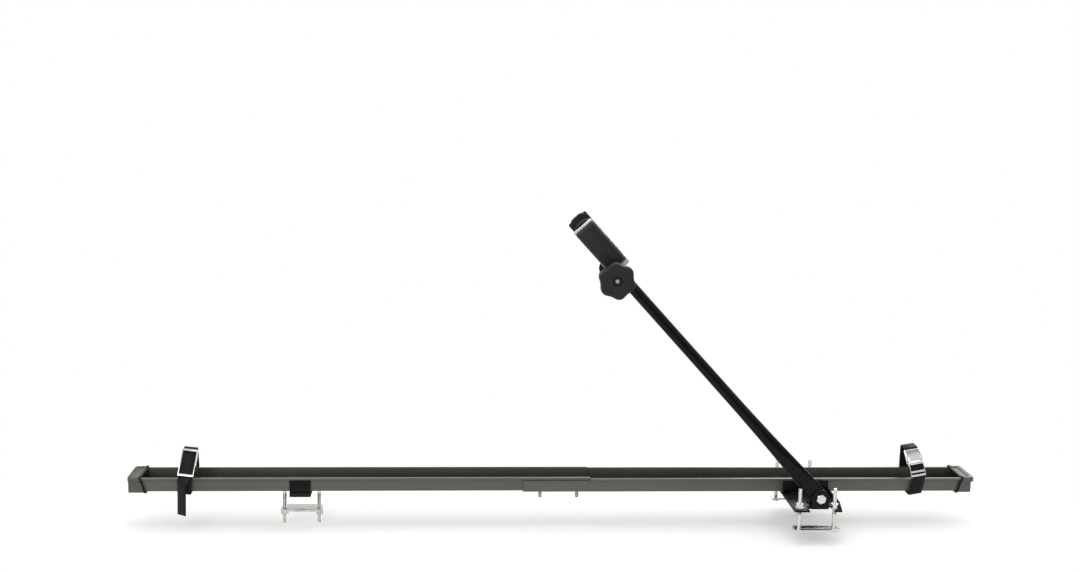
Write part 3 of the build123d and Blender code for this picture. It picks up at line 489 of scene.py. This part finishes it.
def tidyShape(shape):
    bmesh.ops.remove_doubles(shape, verts=shape.verts, dist=1e-6)
    bmesh.ops.recalc_face_normals(shape, faces=shape.faces)
    return shape


def addAt(target, source, matrix):
    # The source is used up
    spare = bpy.data.meshes.new("spare")
    source.to_mesh(spare)
    source.free()
    spare.transform(matrix)
    target.from_mesh(spare)
    bpy.data.meshes.remove(spare)


def axesAt(point, *ways):
    # Local X, Y and Z point these ways
    turn = Matrix.Identity(4)
    for column, way in enumerate(ways):
        turn.col[column][:3] = way
    return Matrix.Translation(point) @ turn


def openEdges(shape):
    return [edge for edge in shape.edges if edge.is_boundary]


def clip(shape, point, way):
    # Cuts off what lies this way from the point, and leaves the cut open
    bmesh.ops.bisect_plane(shape, geom=shape.verts[:] + shape.edges[:] + shape.faces[:], plane_co=point, plane_no=way,
                           clear_outer=True)


def cutOff(shape, point, way):
    clip(shape, point, way)
    bmesh.ops.holes_fill(shape, edges=openEdges(shape), sides=0)


def nextRing(shape, edges, scale=1.0, lift=0.0):
    # The next ring of a drawn or moulded shape
    new = bmesh.ops.extrude_edge_only(shape, edges=edges)["geom"]
    verts = [item for item in new if isinstance(item, bmesh.types.BMVert)]
    bmesh.ops.scale(shape, vec=(scale, scale, 1), verts=verts)
    bmesh.ops.translate(shape, vec=(0, 0, lift), verts=verts)
    edges = [item for item in new if isinstance(item, bmesh.types.BMEdge) and all(vert in verts for vert in item.verts)]
    return edges, verts


def roundEdges(shape, edges, width, segments):
    return bmesh.ops.bevel(shape, geom=edges, offset=width, offset_type="OFFSET", segments=segments, profile=0.5,
                           affect="EDGES", clamp_overlap=True, loop_slide=True, material=-1)["faces"]


def roundSharp(shape, width, segments):
    sharp = radians(nodeCopy["sharp"])
    edges = [edge for edge in shape.edges if edge.is_manifold and edge.calc_face_angle(0) > sharp]
    return roundEdges(shape, edges, width, segments)


# A node's own shape with its sharp edges rounded. The roundings are marked, so that the finish can wear there
nodeCopy = {
    "merge": 2e-6,
    "flat": 0.6,        # degrees up to which faces are taken as one
    "sharp": 34,        # degrees above which an edge is rounded
}
softParts = [
    # finish, rounding in metres, segments, nodes
    ("channelPaint", 0.00025, 2, "rail_rear_half", "rail_front_half"),
    ("capPlastic", 0.00045, 3, "rear_end_cap", "front_end_cap"),
    ("bracketPaint", 0.0004, 2, "rear_saddle"),
    ("bracketPaint", 0.0005, 2, "front_base"),
    ("bracketPaint", 0.0004, 2, "front_saddle"),
    ("bracketPaint", 0.0005, 2, "pivot_ear"),
    ("zincPlate", 0.0004, 2, "rear_clamp_plate", "near_clamp_plate", "far_clamp_plate"),
    ("jawPlating", 0.0004, 2, "front_jaw_plate"),
    ("bracketPaint", 0.0004, 2, "rear_jaw_plate"),
    ("gripPlastic", 0.0011, 3, "front_jaw_cover", "rear_jaw_cover"),
    ("padRubber", 0.0003, 2, "front_jaw_pad", "rear_jaw_pad"),
    ("padRubber", 0.0004, 2, "rear_pad", "front_pad"),
    ("chromePlate", 0.00025, 2, "rear_buckle_frame", "front_buckle_frame"),
    ("zincPlate", 0.0003, 2, "knob_insert"),
]


def nodeShape(node):
    shape = bmesh.new()
    shape.from_mesh(frame["nodes"][node].data)
    bmesh.ops.remove_doubles(shape, verts=shape.verts, dist=nodeCopy["merge"])
    return shape


# How dark the painted shade makes the channel inside, and how far a face must point a way to be its wall, its floor or
# a lip with a painted highlight
channelPaintedLight = {"wall": 1.0, "floor": 0.4, "facing": 0.5, "highlightLipFacing": 0.3}


# The share of painted shade on a face: the inner walls fully, the floor less
def insideShare(face, offset):
    if abs(face.normal.y) > channelPaintedLight["facing"] and face.normal.y * offset.y < 0:
        return channelPaintedLight["wall"]
    return channelPaintedLight["floor"] if face.normal.z > channelPaintedLight["facing"] and offset.z < 0 else 0.0


# The channel's lip tops, which get a painted highlight
def highlightedLip(face, offset):
    return face.normal.z > channelPaintedLight["highlightLipFacing"] and offset.z > 0


def soften(node, finish, width, segments, name=None):
    shape = nodeShape(node)
    bmesh.ops.dissolve_limit(shape, angle_limit=radians(nodeCopy["flat"]), verts=shape.verts, edges=shape.edges)
    for mark in ("inside", "edgeWearAndHighlight"):
        shape.faces.layers.float.new(mark)
    inside, wearAndHighlight = shape.faces.layers.float.values()
    if finish == "channelPaint":
        low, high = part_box(node)
        for face in shape.faces:
            offset = face.calc_center_median() - (low + high) / 2
            # painted shade on the channel's inner walls and floor
            face[inside] = insideShare(face, offset)
            # painted highlight on the lip tops
            face[wearAndHighlight] = float(highlightedLip(face, offset))
    for face in roundSharp(shape, width, segments):
        face[wearAndHighlight] = 1.0
    keepPiece(shape, name or titleName(node), finish, node)


for finish, width, segments, *nodes in softParts:
    for node in nodes:
        soften(node, finish, width, segments)
print("plates, channel, covers and pads ready")


# Bolts, nuts and washers
sizes = {
    # lengths in metres: the shank's and the dome's are radii
    "m6": {"shank": 0.0030, "pitch": 0.0010, "flats": 0.010, "head": 0.004, "dome": 0.0065, "domeHigh": 0.003},
    "m8": {"shank": 0.0040, "pitch": 0.00125, "flats": 0.013, "head": 0.0053, "dome": 0.009, "domeHigh": 0.0045},
}
turned = {
    "threadSteps": 20,
    "threadDeep": 0.55,     # as a share of the pitch
    "leadIn": 0.9,          # how steeply the thread runs out at the tip
    "shankTip": 0.9,        # the plain shank's end inside the thread, as a share of its radius
    "hexSteps": 48,
    "land": 0.95,           # the flat ring on a nut or head, as a share of its flats
    "chamfer": 0.577,       # slope of 30 degrees
    "boreLead": 0.03,       # as a share of the flats
    "nutUnder": 0.0003,     # the thread reaches this far into its nut
    "overlap": 0.0002,      # of rod and head
    "washerSteps": 40,
    "washerOver": 0.0002,
    "washerEdge": 0.00025,
    "domeSides": (32, 16),
    "domeCut": 0.18,        # share of the half ball that is cut off below
    "hexPlain": 0.42,       # plain share of a hex bolt
    "coachPlain": 0.35,     # and of a coach bolt, up to a length
    "coachPlainMost": 0.012,
    "fold": 28,
}
fasteners = {
    # node: what it is, half the gap between the pair, and its turn in degrees
    "rail_joint_bolts": ("coach", 0.02875, 3),
    "rail_joint_nuts": ("nut", 0.02875, 17),
    "rear_bolts": ("coach", 0.0265, 3),
    "rear_nuts": ("nut", 0.0265, 12),
    "rear_washers": ("washer", 0.0265, 3),
    "front_rail_bolts": ("coach", 0.026, 3),
    "front_rail_nuts": ("nut", 0.026, 24),
    "near_clamp_bolts": ("hex", 0.0265, 9),
    "near_clamp_nuts": ("nut", 0.0265, 20),
    "near_clamp_washers": ("washer", 0.0265, 3),
    "far_clamp_bolts": ("hex", 0.0265, 15),
    "far_clamp_nuts": ("nut", 0.0265, 7),
    "far_clamp_washers": ("washer", 0.0265, 3),
}


def drawLine(points, closed=False):
    # A line of (radius, height) points beside the Z axis
    shape = bmesh.new()
    line = [shape.verts.new((radius, 0, high)) for radius, high in points]
    for first, second in zip(line, line[1:] + line[:1] if closed else line[1:]):
        shape.edges.new((first, second))
    return shape


def spinRound(shape, steps, rise, merge):
    bmesh.ops.spin(shape, geom=shape.verts[:] + shape.edges[:], cent=(0, 0, 0), axis=(0, 0, 1),
                   dvec=(0, 0, rise / steps), angle=2 * pi, steps=steps, use_merge=merge, use_duplicate=False)


def turnedPiece(points, steps, closed=False):
    shape = drawLine(points, closed)
    spinRound(shape, steps, 0, True)
    return tidyShape(shape)


def threadedRod(size, low, high, plainTo):
    # One turn of a saw line that rises by a pitch closes on itself, so the thread runs all the way up
    pitch, radius, steps = size["pitch"], size["shank"], turned["threadSteps"]
    count = 2 * int((high - plainTo) / pitch + 3) + 1
    rod = drawLine([(radius - turned["threadDeep"] * pitch * (step % 2), plainTo - pitch + step * pitch / 2)
                    for step in range(count)])
    spinRound(rod, steps, pitch, False)
    bmesh.ops.remove_doubles(rod, verts=rod.verts, dist=1e-6)
    cutOff(rod, (0, 0, plainTo), (0, 0, -1))
    cutOff(rod, (0, 0, high), (0, 0, 1))
    for vert in rod.verts:      # the lead-in at the tip
        reach = radius - max(0, vert.co.z - (high - pitch)) * turned["leadIn"]
        distance = hypot(vert.co.x, vert.co.y)
        if distance > reach:
            vert.co.xy *= reach / distance
    bmesh.ops.recalc_face_normals(rod, faces=rod.faces)
    if plainTo > low:
        tip = plainTo + pitch / 3
        shank = [(0, low), (radius, low), (radius, plainTo), (radius * turned["shankTip"], tip), (0, tip)]
        addAt(rod, turnedPiece(shank, steps), Matrix.Identity(4))
    return rod


def hexPiece(flats, high, bore=0.0):
    # A turned blank with chamfers, cut on six sides
    corner, land = flats / 2 / cos(pi / 6), flats / 2 * turned["land"]
    slope = (corner - land) * turned["chamfer"]
    side = [(land, 0), (corner, slope), (corner, high - slope), (land, high)]
    if bore:
        lead = flats * turned["boreLead"]
        points = [(bore, lead), (bore + lead, 0), *side, (bore + lead, high), (bore, high - lead)]
    else:
        points = [(0, 0), *side, (0, high)]
    shape = turnedPiece(points, turned["hexSteps"], closed=bool(bore))
    for cut in range(6):
        way = Vector((cos(cut * pi / 3), sin(cut * pi / 3), 0))
        cutOff(shape, way * flats / 2, way)
    bmesh.ops.recalc_face_normals(shape, faces=shape.faces)
    return shape


def nutPiece(size, high):
    return hexPiece(size["flats"], high, size["shank"] - turned["nutUnder"])


def washerRing(bore, outer, high):
    shape = turnedPiece([(bore, 0), (outer, 0), (outer, high), (bore, high)], turned["washerSteps"], closed=True)
    roundSharp(shape, turned["washerEdge"], 2)
    return shape


def domeHead(size):
    cut, radius, high = turned["domeCut"], size["dome"], size["domeHigh"]
    around, up = turned["domeSides"]
    shape = bmesh.new()
    bmesh.ops.create_uvsphere(shape, u_segments=around, v_segments=up, radius=1.0)
    bmesh.ops.scale(shape, vec=(radius, radius, high), verts=shape.verts)
    cutOff(shape, (0, 0, high * cut), (0, 0, -1))
    bmesh.ops.translate(shape, vec=(0, 0, -high * cut), verts=shape.verts)
    bmesh.ops.scale(shape, vec=(1, 1, 1 / (1 - cut)), verts=shape.verts)
    return shape


def hexBolt(size, long, plain, at):
    rod = threadedRod(size, size["head"] - turned["overlap"], long, long * plain)
    return [(hexPiece(size["flats"], size["head"]), at), (rod, at)]


def coachBolt(size, tall, at):
    shaft = tall - size["domeHigh"]
    rod = threadedRod(size, 0, shaft, min(shaft * turned["coachPlain"], turned["coachPlainMost"]))
    bmesh.ops.rotate(rod, verts=rod.verts, cent=(0, 0, shaft / 2), matrix=Matrix.Rotation(pi, 3, "X"))
    return [(domeHead(size), at @ Matrix.Translation((0, 0, shaft))), (rod, at)]


def keepFastener(name, node, *parts):
    shape = bmesh.new()
    for part, at in parts:
        addAt(shape, part, at)
    keepPiece(shape, name, "zincPlate", node, fold=turned["fold"])


def makeFasteners(node, kind, halfGap, turn):
    size = sizes["m6"]
    low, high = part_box(node)
    tall = high.z - low.z
    parts = []
    for side in (-1, 1):
        middle = Vector(((low.x + high.x) / 2 + side * halfGap, (low.y + high.y) / 2, low.z))
        at = Matrix.Translation(middle) @ Matrix.Rotation(radians(turn * side), 4, "Z")
        if kind == "nut":
            parts.append((nutPiece(size, tall), at))
        elif kind == "washer":
            ring = washerRing(size["shank"] + turned["washerOver"], (high.y - low.y) / 2, tall)
            parts.append((ring, at))
        elif kind == "hex":
            parts += hexBolt(size, tall, turned["hexPlain"], at)
        else:
            parts += coachBolt(size, tall, at)
    keepFastener(titleName(node), node, *parts)


for node, settings in fasteners.items():
    makeFasteners(node, *settings)


# A black strip over each cap's slanted inner edge is painted shade: a dark piece standing in for the shadow gap there
capEdgeShade = {
    "wide": 0.0024,
    "slant": 17.2,      # degrees that the edge leans
    "wider": 1.028,     # than the cap, as a factor
    "taller": 1.068,
    "inward": 0.0004,
}


def makeCapEdgeShade(name, node, way):
    low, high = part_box(node)
    shape = nodeShape(node)
    lean = radians(capEdgeShade["slant"])
    into = Vector((way * cos(lean), 0, -sin(lean)))
    foot = Vector((low.x if way > 0 else high.x, 0, low.z))
    clip(shape, foot + into * capEdgeShade["wide"], into)
    bmesh.ops.bridge_loops(shape, edges=openEdges(shape))
    middle = (low + high) / 2
    for vert in shape.verts:
        vert.co.y = middle.y + (vert.co.y - middle.y) * capEdgeShade["wider"]
        vert.co.z = middle.z + (vert.co.z - middle.z) * capEdgeShade["taller"]
        vert.co.x -= way * capEdgeShade["inward"]
    # the dark strip stands in for shade at the cap's edge
    keepPiece(tidyShape(shape), name, "padRubber", body="carrier")


makeCapEdgeShade("rearCapEdgeShade", "rear_end_cap", -1)
makeCapEdgeShade("frontCapEdgeShade", "front_end_cap", 1)
print("bolts, nuts and washers ready")


# The arm: a tube pressed flat round its pivot, set over towards the channel further up
arm = {
    "pivot": (0.006, -0.094, 0.0188),
    "angle": 132.6,
    "length": 0.438,
    "setStart": 0.048,
    "weldY": -0.05765,
    "wall": 0.0015,
    "boreDeep": 0.06,
    "sides": 40,
    # the round nose: its turn in degrees, share of the thickness, squareness
    "nose": [(7, 0.72, 2.6), (18, 0.86, 3.2), (32, 0.95, 3.8), (50, 1.0, 4.4), (70, 1.0, 4.8)],
    # distance from the pivot, width, thickness, squareness
    "stations": [
        (0.000, 0.0256, 0.0080, 5.0), (0.012, 0.0256, 0.0080, 5.0), (0.022, 0.0255, 0.0081, 4.8),
        (0.034, 0.0252, 0.0088, 4.4), (0.050, 0.0243, 0.0104, 3.8), (0.070, 0.0230, 0.0128, 3.2),
        (0.095, 0.0213, 0.0148, 2.7), (0.130, 0.0194, 0.0164, 2.2), (0.180, 0.0178, 0.0171, 2.0),
        (0.300, 0.0172, 0.0172, 2.0), (0.438, 0.0172, 0.0172, 2.0),
    ],
}
armTurn = radians(arm["angle"])
along = Vector((cos(armTurn), 0, sin(armTurn)))
across = Vector((-sin(armTurn), 0, cos(armTurn)))
near = Vector((0, -1, 0))
pivot = Vector(arm["pivot"])


def armPoint(distance, side=0.0, y=None):
    # A point by its distance up the arm, its distance across it, and its Y
    lean = max(distance - arm["setStart"], 0) * (arm["weldY"] - pivot.y) / (arm["length"] - arm["setStart"])
    return Vector((pivot.x, pivot.y + lean if y is None else y, pivot.z)) + along * distance + across * side


def armRing(shape, distance, width, thick, square):
    ring = bmesh.ops.create_circle(shape, segments=arm["sides"], radius=1.0)["verts"]
    middle = armPoint(distance)
    for vert in ring:
        x, y = (copysign(abs(part) ** (2 / square), part) for part in vert.co.xy)
        vert.co = middle + across * x * width / 2 + near * y * thick / 2
    return [edge for edge in shape.edges if edge.verts[0] in ring and edge.verts[1] in ring]


def makeArm(spec):
    shape = bmesh.new()
    width, thick = spec["stations"][0][1:3]
    nose = [(-width / 2 * cos(radians(turn)), width * sin(radians(turn)), thick * part, square)
            for turn, part, square in spec["nose"]]
    rings = [armRing(shape, *station) for station in nose + spec["stations"]]
    for lower, upper in zip(rings, rings[1:]):
        bmesh.ops.bridge_loops(shape, edges=lower + upper)
    bmesh.ops.holes_fill(shape, edges=rings[0], sides=0)
    # The open top end shows the tube's wall
    top = armPoint(spec["length"])
    edges, verts = nextRing(shape, rings[-1])
    for vert in verts:
        vert.co = top + (vert.co - top) * (1 - spec["wall"] * 2 / spec["stations"][-1][1])
    edges, verts = nextRing(shape, edges)
    bmesh.ops.translate(shape, verts=verts, vec=armPoint(spec["length"] - spec["boreDeep"]) - top)
    bmesh.ops.holes_fill(shape, edges=openEdges(shape), sides=0)
    keepPiece(tidyShape(shape), "armTube", "armPaint", "arm_tube", fold=50)


makeArm(arm)


# Weld beads: short ripples laid one over the next
weld = {
    "radius": 0.0017,
    "step": 0.0011,
    "fewest": 4,
    "ripple": 0.16,
    "end": 0.45,        # a bead's end, as a share of its radius, and what each ripple adds
    "grow": 0.3,
    "armSpan": (0.427, 0.4375),     # up the arm
    "armSide": 0.0052,
    "armOff": 0.0006,       # in front of the jaw plate
    "lift": 0.0004,         # above the base
    "saddleStarts": {"Rear": -0.023, "Front": 0.012},
    "saddleLong": 0.020,
    "saddleOff": 0.0001,
    "earEnds": (0.003, 0.002),      # left free at the ear's near and far end
}


def makeWeld(name, start, end, body, finish):
    start, end = Vector(start), Vector(end)
    count = max(weld["fewest"], int((end - start).length / weld["step"]))
    data = bpy.data.curves.new(name, "CURVE")
    data.dimensions = "3D"
    data.bevel_depth = weld["radius"]
    data.bevel_resolution = 3
    data.use_fill_caps = True
    spline = data.splines.new("POLY")
    spline.points.add(count)
    for step in range(count + 1):
        spline.points[step].co = (*start.lerp(end, step / count), 1)
        size = min(1.0, weld["end"] + weld["grow"] * min(step, count - step))
        spline.points[step].radius = size * (1 + weld["ripple"] * (1 if step % 2 else -1))
    run = addObject(name, data)
    mesh = bpy.data.meshes.new_from_object(run)
    bpy.data.objects.remove(run)
    shape = bmesh.new()
    shape.from_mesh(mesh)
    bpy.data.meshes.remove(mesh)
    keepPiece(tidyShape(shape), name, finish, body=body, fold=60)


def makeWelds(spec):
    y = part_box("front_jaw_plate")[0].y - spec["armOff"]
    for word, side in (("Low", -spec["armSide"]), ("High", spec["armSide"])):
        start, end = (armPoint(distance, side, y) for distance in spec["armSpan"])
        makeWeld("armWeld" + word, start, end, "arm", "armPaint")
    saddleLow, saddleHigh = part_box("front_saddle")
    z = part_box("near_clamp_washers")[0].z + spec["lift"]
    for word, y in (("Near", saddleLow.y - spec["saddleOff"]), ("Far", saddleHigh.y + spec["saddleOff"])):
        for part, x in spec["saddleStarts"].items():
            makeWeld("saddleWeld" + part + word, (x, y, z), (x + spec["saddleLong"], y, z), "carrier", "bracketPaint")
    earLow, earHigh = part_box("pivot_ear")
    nearEnd, farEnd = earLow.y + spec["earEnds"][0], earHigh.y - spec["earEnds"][1]
    for part, x in (("Rear", earLow.x), ("Front", earHigh.x)):
        makeWeld("earWeld" + part, (x, nearEnd, z), (x, farEnd, z), "carrier", "bracketPaint")


makeWelds(weld)
print("arm and welds ready")


# Pivot bolt and nut: their axes lie along Y
pivotBolt = {"plain": 0.5, "turn": 11, "nutTurn": 25}


def alongY(x, y, z, turn=0.0):
    # Local Z points to the far side
    axis = Matrix.Translation((x, y, z)) @ Matrix.Rotation(radians(-90), 4, "X")
    return axis @ Matrix.Rotation(radians(turn), 4, "Z")


def makePivotBolt(spec):
    size = sizes["m8"]
    low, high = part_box("pivot_bolt")
    x, z = ((low + high) / 2).xz
    bolt = hexBolt(size, high.y - low.y, spec["plain"], alongY(x, low.y, z, spec["turn"]))
    keepFastener("pivotBolt", "pivot_bolt", *bolt)
    low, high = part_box("pivot_nut")
    nut = nutPiece(size, high.y - low.y)
    keepFastener("pivotNut", "pivot_nut", (nut, alongY(x, low.y, z, spec["nutTurn"])))


makePivotBolt(pivotBolt)


# The knob: six lobes that die out towards a round recess, and a hub behind
knob = {
    "sides": 144,
    "lobes": 6,
    "phase": 27.4,          # degrees
    "middle": 0.02635,      # between the lobes' tops and the hollows
    "swing": 0.00170,
    "thick": 0.018,
    "back": 0.90,           # the back face's size, and that of the middle of the rounding behind
    "backEdge": 0.965,
    "backLifts": (0.25, 0.55, 1.8),     # as shares of the front's rounding
    "edge": 0.0032,
    "edgeSteps": 5,
    "dish": 0.0008,
    "dishRings": ((0.82, 0.6), (0.75, 0.4)),        # scale, share of the dish
    "hub": 0.010,
    "hubTaper": 0.96,
    "recessRings": ((0.0112, 0.0), (0.0088, 0.0004), (0.0080, -0.0002), (0.00752, -0.0050)),     # radius, lift
}
knobLow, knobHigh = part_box("clamp_knob")
knobMiddle = (knobLow + knobHigh) / 2


def knobMatrix(y):
    # Local X up the arm, local Z to the near side
    return axesAt((knobMiddle.x, y, knobMiddle.z), along, near.cross(along), near)


def makeRound(verts, radius):
    for vert in verts:
        vert.co.xy *= radius / hypot(vert.co.x, vert.co.y)


def makeKnob(spec):
    shape = bmesh.new()
    for vert in bmesh.ops.create_circle(shape, segments=spec["sides"], radius=1.0)["verts"]:
        turn = atan2(vert.co.y, vert.co.x)
        wave = cos(spec["lobes"] * (turn - radians(spec["phase"])))
        vert.co *= (spec["middle"] + spec["swing"] * wave) * spec["back"]
    back = shape.edges[:]
    # The side wall, rounded at the back and more at the front, then the slightly dished face
    edge, outer = spec["edge"], spec["middle"]
    low, high, both = spec["backLifts"]
    rings = [(1 / spec["back"] * spec["backEdge"], edge * low), (1 / spec["backEdge"], edge * high),
             (1.0, spec["thick"] - edge * both)]
    turns = [radians(90 / spec["edgeSteps"] * step) for step in range(spec["edgeSteps"] + 1)]
    rings += [((outer - edge * (1 - cos(turn))) / (outer - edge * (1 - cos(before))), edge * (sin(turn) - sin(before)))
              for before, turn in zip(turns, turns[1:])]
    rings += [(scale, -spec["dish"] * share) for scale, share in spec["dishRings"]]
    edges = back
    for scale, lift in rings:
        edges, verts = nextRing(shape, edges, scale, lift)
    for radius, lift in spec["recessRings"]:
        edges, verts = nextRing(shape, edges, lift=lift)
        makeRound(verts, radius)
    bmesh.ops.holes_fill(shape, edges=edges, sides=0)
    edges, verts = nextRing(shape, back)
    makeRound(verts, spec["hub"])
    edges, verts = nextRing(shape, edges, spec["hubTaper"], -(knobHigh.y - knobLow.y - spec["thick"]))
    bmesh.ops.holes_fill(shape, edges=edges, sides=0)
    tidyShape(shape)
    bmesh.ops.transform(shape, matrix=knobMatrix(knobLow.y + spec["thick"]), verts=shape.verts)
    keepPiece(shape, "clampKnob", "gripPlastic", "clamp_knob", fold=40)


makeKnob(knob)

clampBolt = {"plain": 0.25, "washerOver": 0.0003}


def makeClampBolt(spec):
    size = sizes["m8"]
    low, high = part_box("clamp_bolt")
    long, shoulder = high.y - low.y, high.y - size["domeHigh"]
    rod = threadedRod(size, 0, long - size["domeHigh"], long * spec["plain"])
    head = domeHead(size), alongY(knobMiddle.x, shoulder, knobMiddle.z)
    keepFastener("clampBolt", "clamp_bolt", (rod, knobMatrix(shoulder)), head)
    low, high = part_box("clamp_washer")
    ring = washerRing(size["shank"] + spec["washerOver"], (high.x - low.x) / 2, high.y - low.y)
    keepFastener("clampWasher", "clamp_washer", (ring, alongY(knobMiddle.x, low.y, knobMiddle.z)))


makeClampBolt(clampBolt)
print("pivot, knob and clamp bolt ready")


# Wheel straps of flat webbing: a closed band under the channel, up its lips and in over where the rim lies
webbing = {
    "width": 0.020,
    "thick": 0.0016,
    "folds": {"low": 0.0017, "bend": 0.0012, "top": 0.0011},        # how far each fold is rounded
    "foldSegments": 5,
    "wallCuts": 3,
    "wallSlack": 0.004,     # the open edges this near the walls' length are cut
    "shiftFrom": 0.003,     # below the bend, the band starts to run askew
}
strapLoops = {
    "rear": {"x": -0.954, "floor": 0.0085, "lean": 6.0, "half": 0.0308, "bend": 0.02460, "top": 0.0610,
             "topHalf": 0.0030, "low": -0.0014, "underShift": 0.0},
    "front": {"x": 0.182, "floor": 0.0070, "lean": -10.0, "half": 0.0325, "bend": 0.02531, "top": 0.0655,
              "topHalf": 0.0100, "low": -0.00211, "underShift": -0.0085},       # back to the arm
}


def loopMatrix(spec):
    # Local X across the channel, local Y up the leaning strap, local Z along the channel
    lean = radians(spec["lean"])
    return axesAt((spec["x"], 0, spec["floor"]), (0, 1, 0), (sin(lean), 0, cos(lean)), (cos(lean), 0, -sin(lean)))


def measureBand(start, layer):
    # Walks round one side of the band and keeps the distance walked on both sides
    vert, edge, walked = start, None, 0.0
    while True:
        vert[layer] = walked
        rung = next(link for link in vert.link_edges if not link.is_boundary)
        rung.other_vert(vert)[layer] = walked
        edge = next(link for link in vert.link_edges if link.is_boundary and link is not edge)
        walked += edge.calc_length()
        vert = edge.other_vert(vert)
        if vert is start:
            return walked


def giveStrapUv(shape, layer, total):
    # UVs in metres: X along the webbing, Y across it
    uv = shape.loops.layers.uv.new("strapUV")
    for face in shape.faces:
        walked = [loop.vert[layer] for loop in face.loops]
        for loop in face.loops:
            value = loop.vert[layer]
            if max(walked) - min(walked) > total / 2 and value < total / 2:
                value += total
            loop[uv].uv = (value, loop.vert.co.z)


def keepWebbing(shape, name, node, thick):
    piece = keepPiece(shape, name, "strapWebbing", node, fold=60)
    wall = piece.modifiers.new("thickness", "SOLIDIFY")
    wall.thickness = thick
    wall.offset = 1.0
    wall.use_even_offset = True
    return piece


def makeStrap(side, spec):
    shape = bmesh.new()
    half, topHalf, low, bend, top = (spec[key] for key in ("half", "topHalf", "low", "bend", "top"))
    corners = [(-half, low), (-half, bend), (-topHalf, top), (topHalf, top), (half, bend), (half, low)]
    ring = [shape.verts.new((x, y, -webbing["width"] / 2)) for x, y in corners]
    edges = [shape.edges.new((first, second)) for first, second in zip(ring, ring[1:] + ring[:1])]
    nextRing(shape, edges, lift=webbing["width"])
    for height, radius in webbing["folds"].items():
        folds = [edge for edge in shape.edges
                 if not edge.is_boundary and abs(edge.verts[0].co.y - spec[height]) < 1e-6]
        roundEdges(shape, folds, radius, webbing["foldSegments"])
    bmesh.ops.recalc_face_normals(shape, faces=shape.faces)
    middle = sum((face.calc_center_median() for face in shape.faces), Vector()) / len(shape.faces)
    if sum((face.calc_center_median() - middle).dot(face.normal) for face in shape.faces) < 0:
        bmesh.ops.reverse_faces(shape, faces=shape.faces)
    layer = shape.verts.layers.float.new("walked")
    total = measureBand(min(shape.verts, key=lambda vert: (vert.co.z, vert.co.y, vert.co.x)), layer)
    giveStrapUv(shape, layer, total)
    walls = [edge for edge in openEdges(shape) if abs(edge.calc_length() - (bend - low)) < webbing["wallSlack"]]
    bmesh.ops.subdivide_edges(shape, edges=walls, cuts=webbing["wallCuts"], use_grid_fill=True)
    bmesh.ops.transform(shape, matrix=loopMatrix(spec), verts=shape.verts)
    start = bend - webbing["shiftFrom"]
    for vert in shape.verts:
        drop = (spec["floor"] + start - vert.co.z) / start
        vert.co.x += spec["underShift"] * min(1.0, max(0.0, drop))
    piece = keepWebbing(shape, f"{side}Strap", f"{side}_strap", webbing["thick"])
    return total


for side, spec in strapLoops.items():
    print(side, "strap, round its loop:", round(makeStrap(side, spec), 4), "m")


# The rear strap's free end lies on the strap below the buckle, then hangs, turning its far edge outwards
tail = {
    "width": 0.018,
    "thick": 0.0015,
    "cells": (4, 26),
    "turn": 40,         # degrees that its far edge turns outwards
    "turnFast": 7.0,    # it has turned after this part of its length
    "turnCurve": 1.4,
    "swing": 0.0035,
    "swingCurve": 1.3,
    "cut": -0.0002,     # slant of the heat-cut end
    "cutCurve": 8,
    "start": 0.0005,    # past its solid's edge
    "sunk": 0.02,       # into the strap, as a share of its thickness
}


def makeTail(spec):
    low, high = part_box("rear_strap_tail")
    floor = strapLoops["rear"]["floor"]
    shape = bmesh.new()
    bmesh.ops.create_grid(shape, x_segments=spec["cells"][0], y_segments=spec["cells"][1], size=0.5)
    uv = shape.loops.layers.uv.new("strapUV")
    for vert in shape.verts:
        side, down = vert.co.x + 0.5, 0.5 - vert.co.y
        z = high.z - down * (high.z - low.z) - spec["cut"] * side * down ** spec["cutCurve"]
        loose = max(0.0, (floor - z) / (floor - low.z))
        turn = radians(spec["turn"]) * min(1.0, down * spec["turnFast"]) ** spec["turnCurve"]
        reach = side * spec["width"]
        out = spec["thick"] * spec["sunk"] + spec["swing"] * loose ** spec["swingCurve"] + reach * sin(turn)
        vert.co = (low.x + spec["start"] + reach * cos(turn), high.y - out, z)
    for face in shape.faces:
        for loop in face.loops:
            loop[uv].uv = (high.z - loop.vert.co.z, loop.vert.co.x - low.x)
    bmesh.ops.recalc_face_normals(shape, faces=shape.faces)
    if sum(face.normal.y for face in shape.faces) > 0:
        bmesh.ops.reverse_faces(shape, faces=shape.faces)
    piece = keepWebbing(shape, "rearStrapTail", "rear_strap_tail", spec["thick"])


makeTail(tail)
print("straps ready")


# The buckles' cam levers and pins
buckleEdge = {"width": 0.0003, "segments": 2}
for side in strapLoops:
    for part in ("lever", "pin"):
        soften(f"{side}_buckle_{part}", "chromePlate", name=f"{side}Buckle{part.title()}", **buckleEdge)
print("buckles ready")
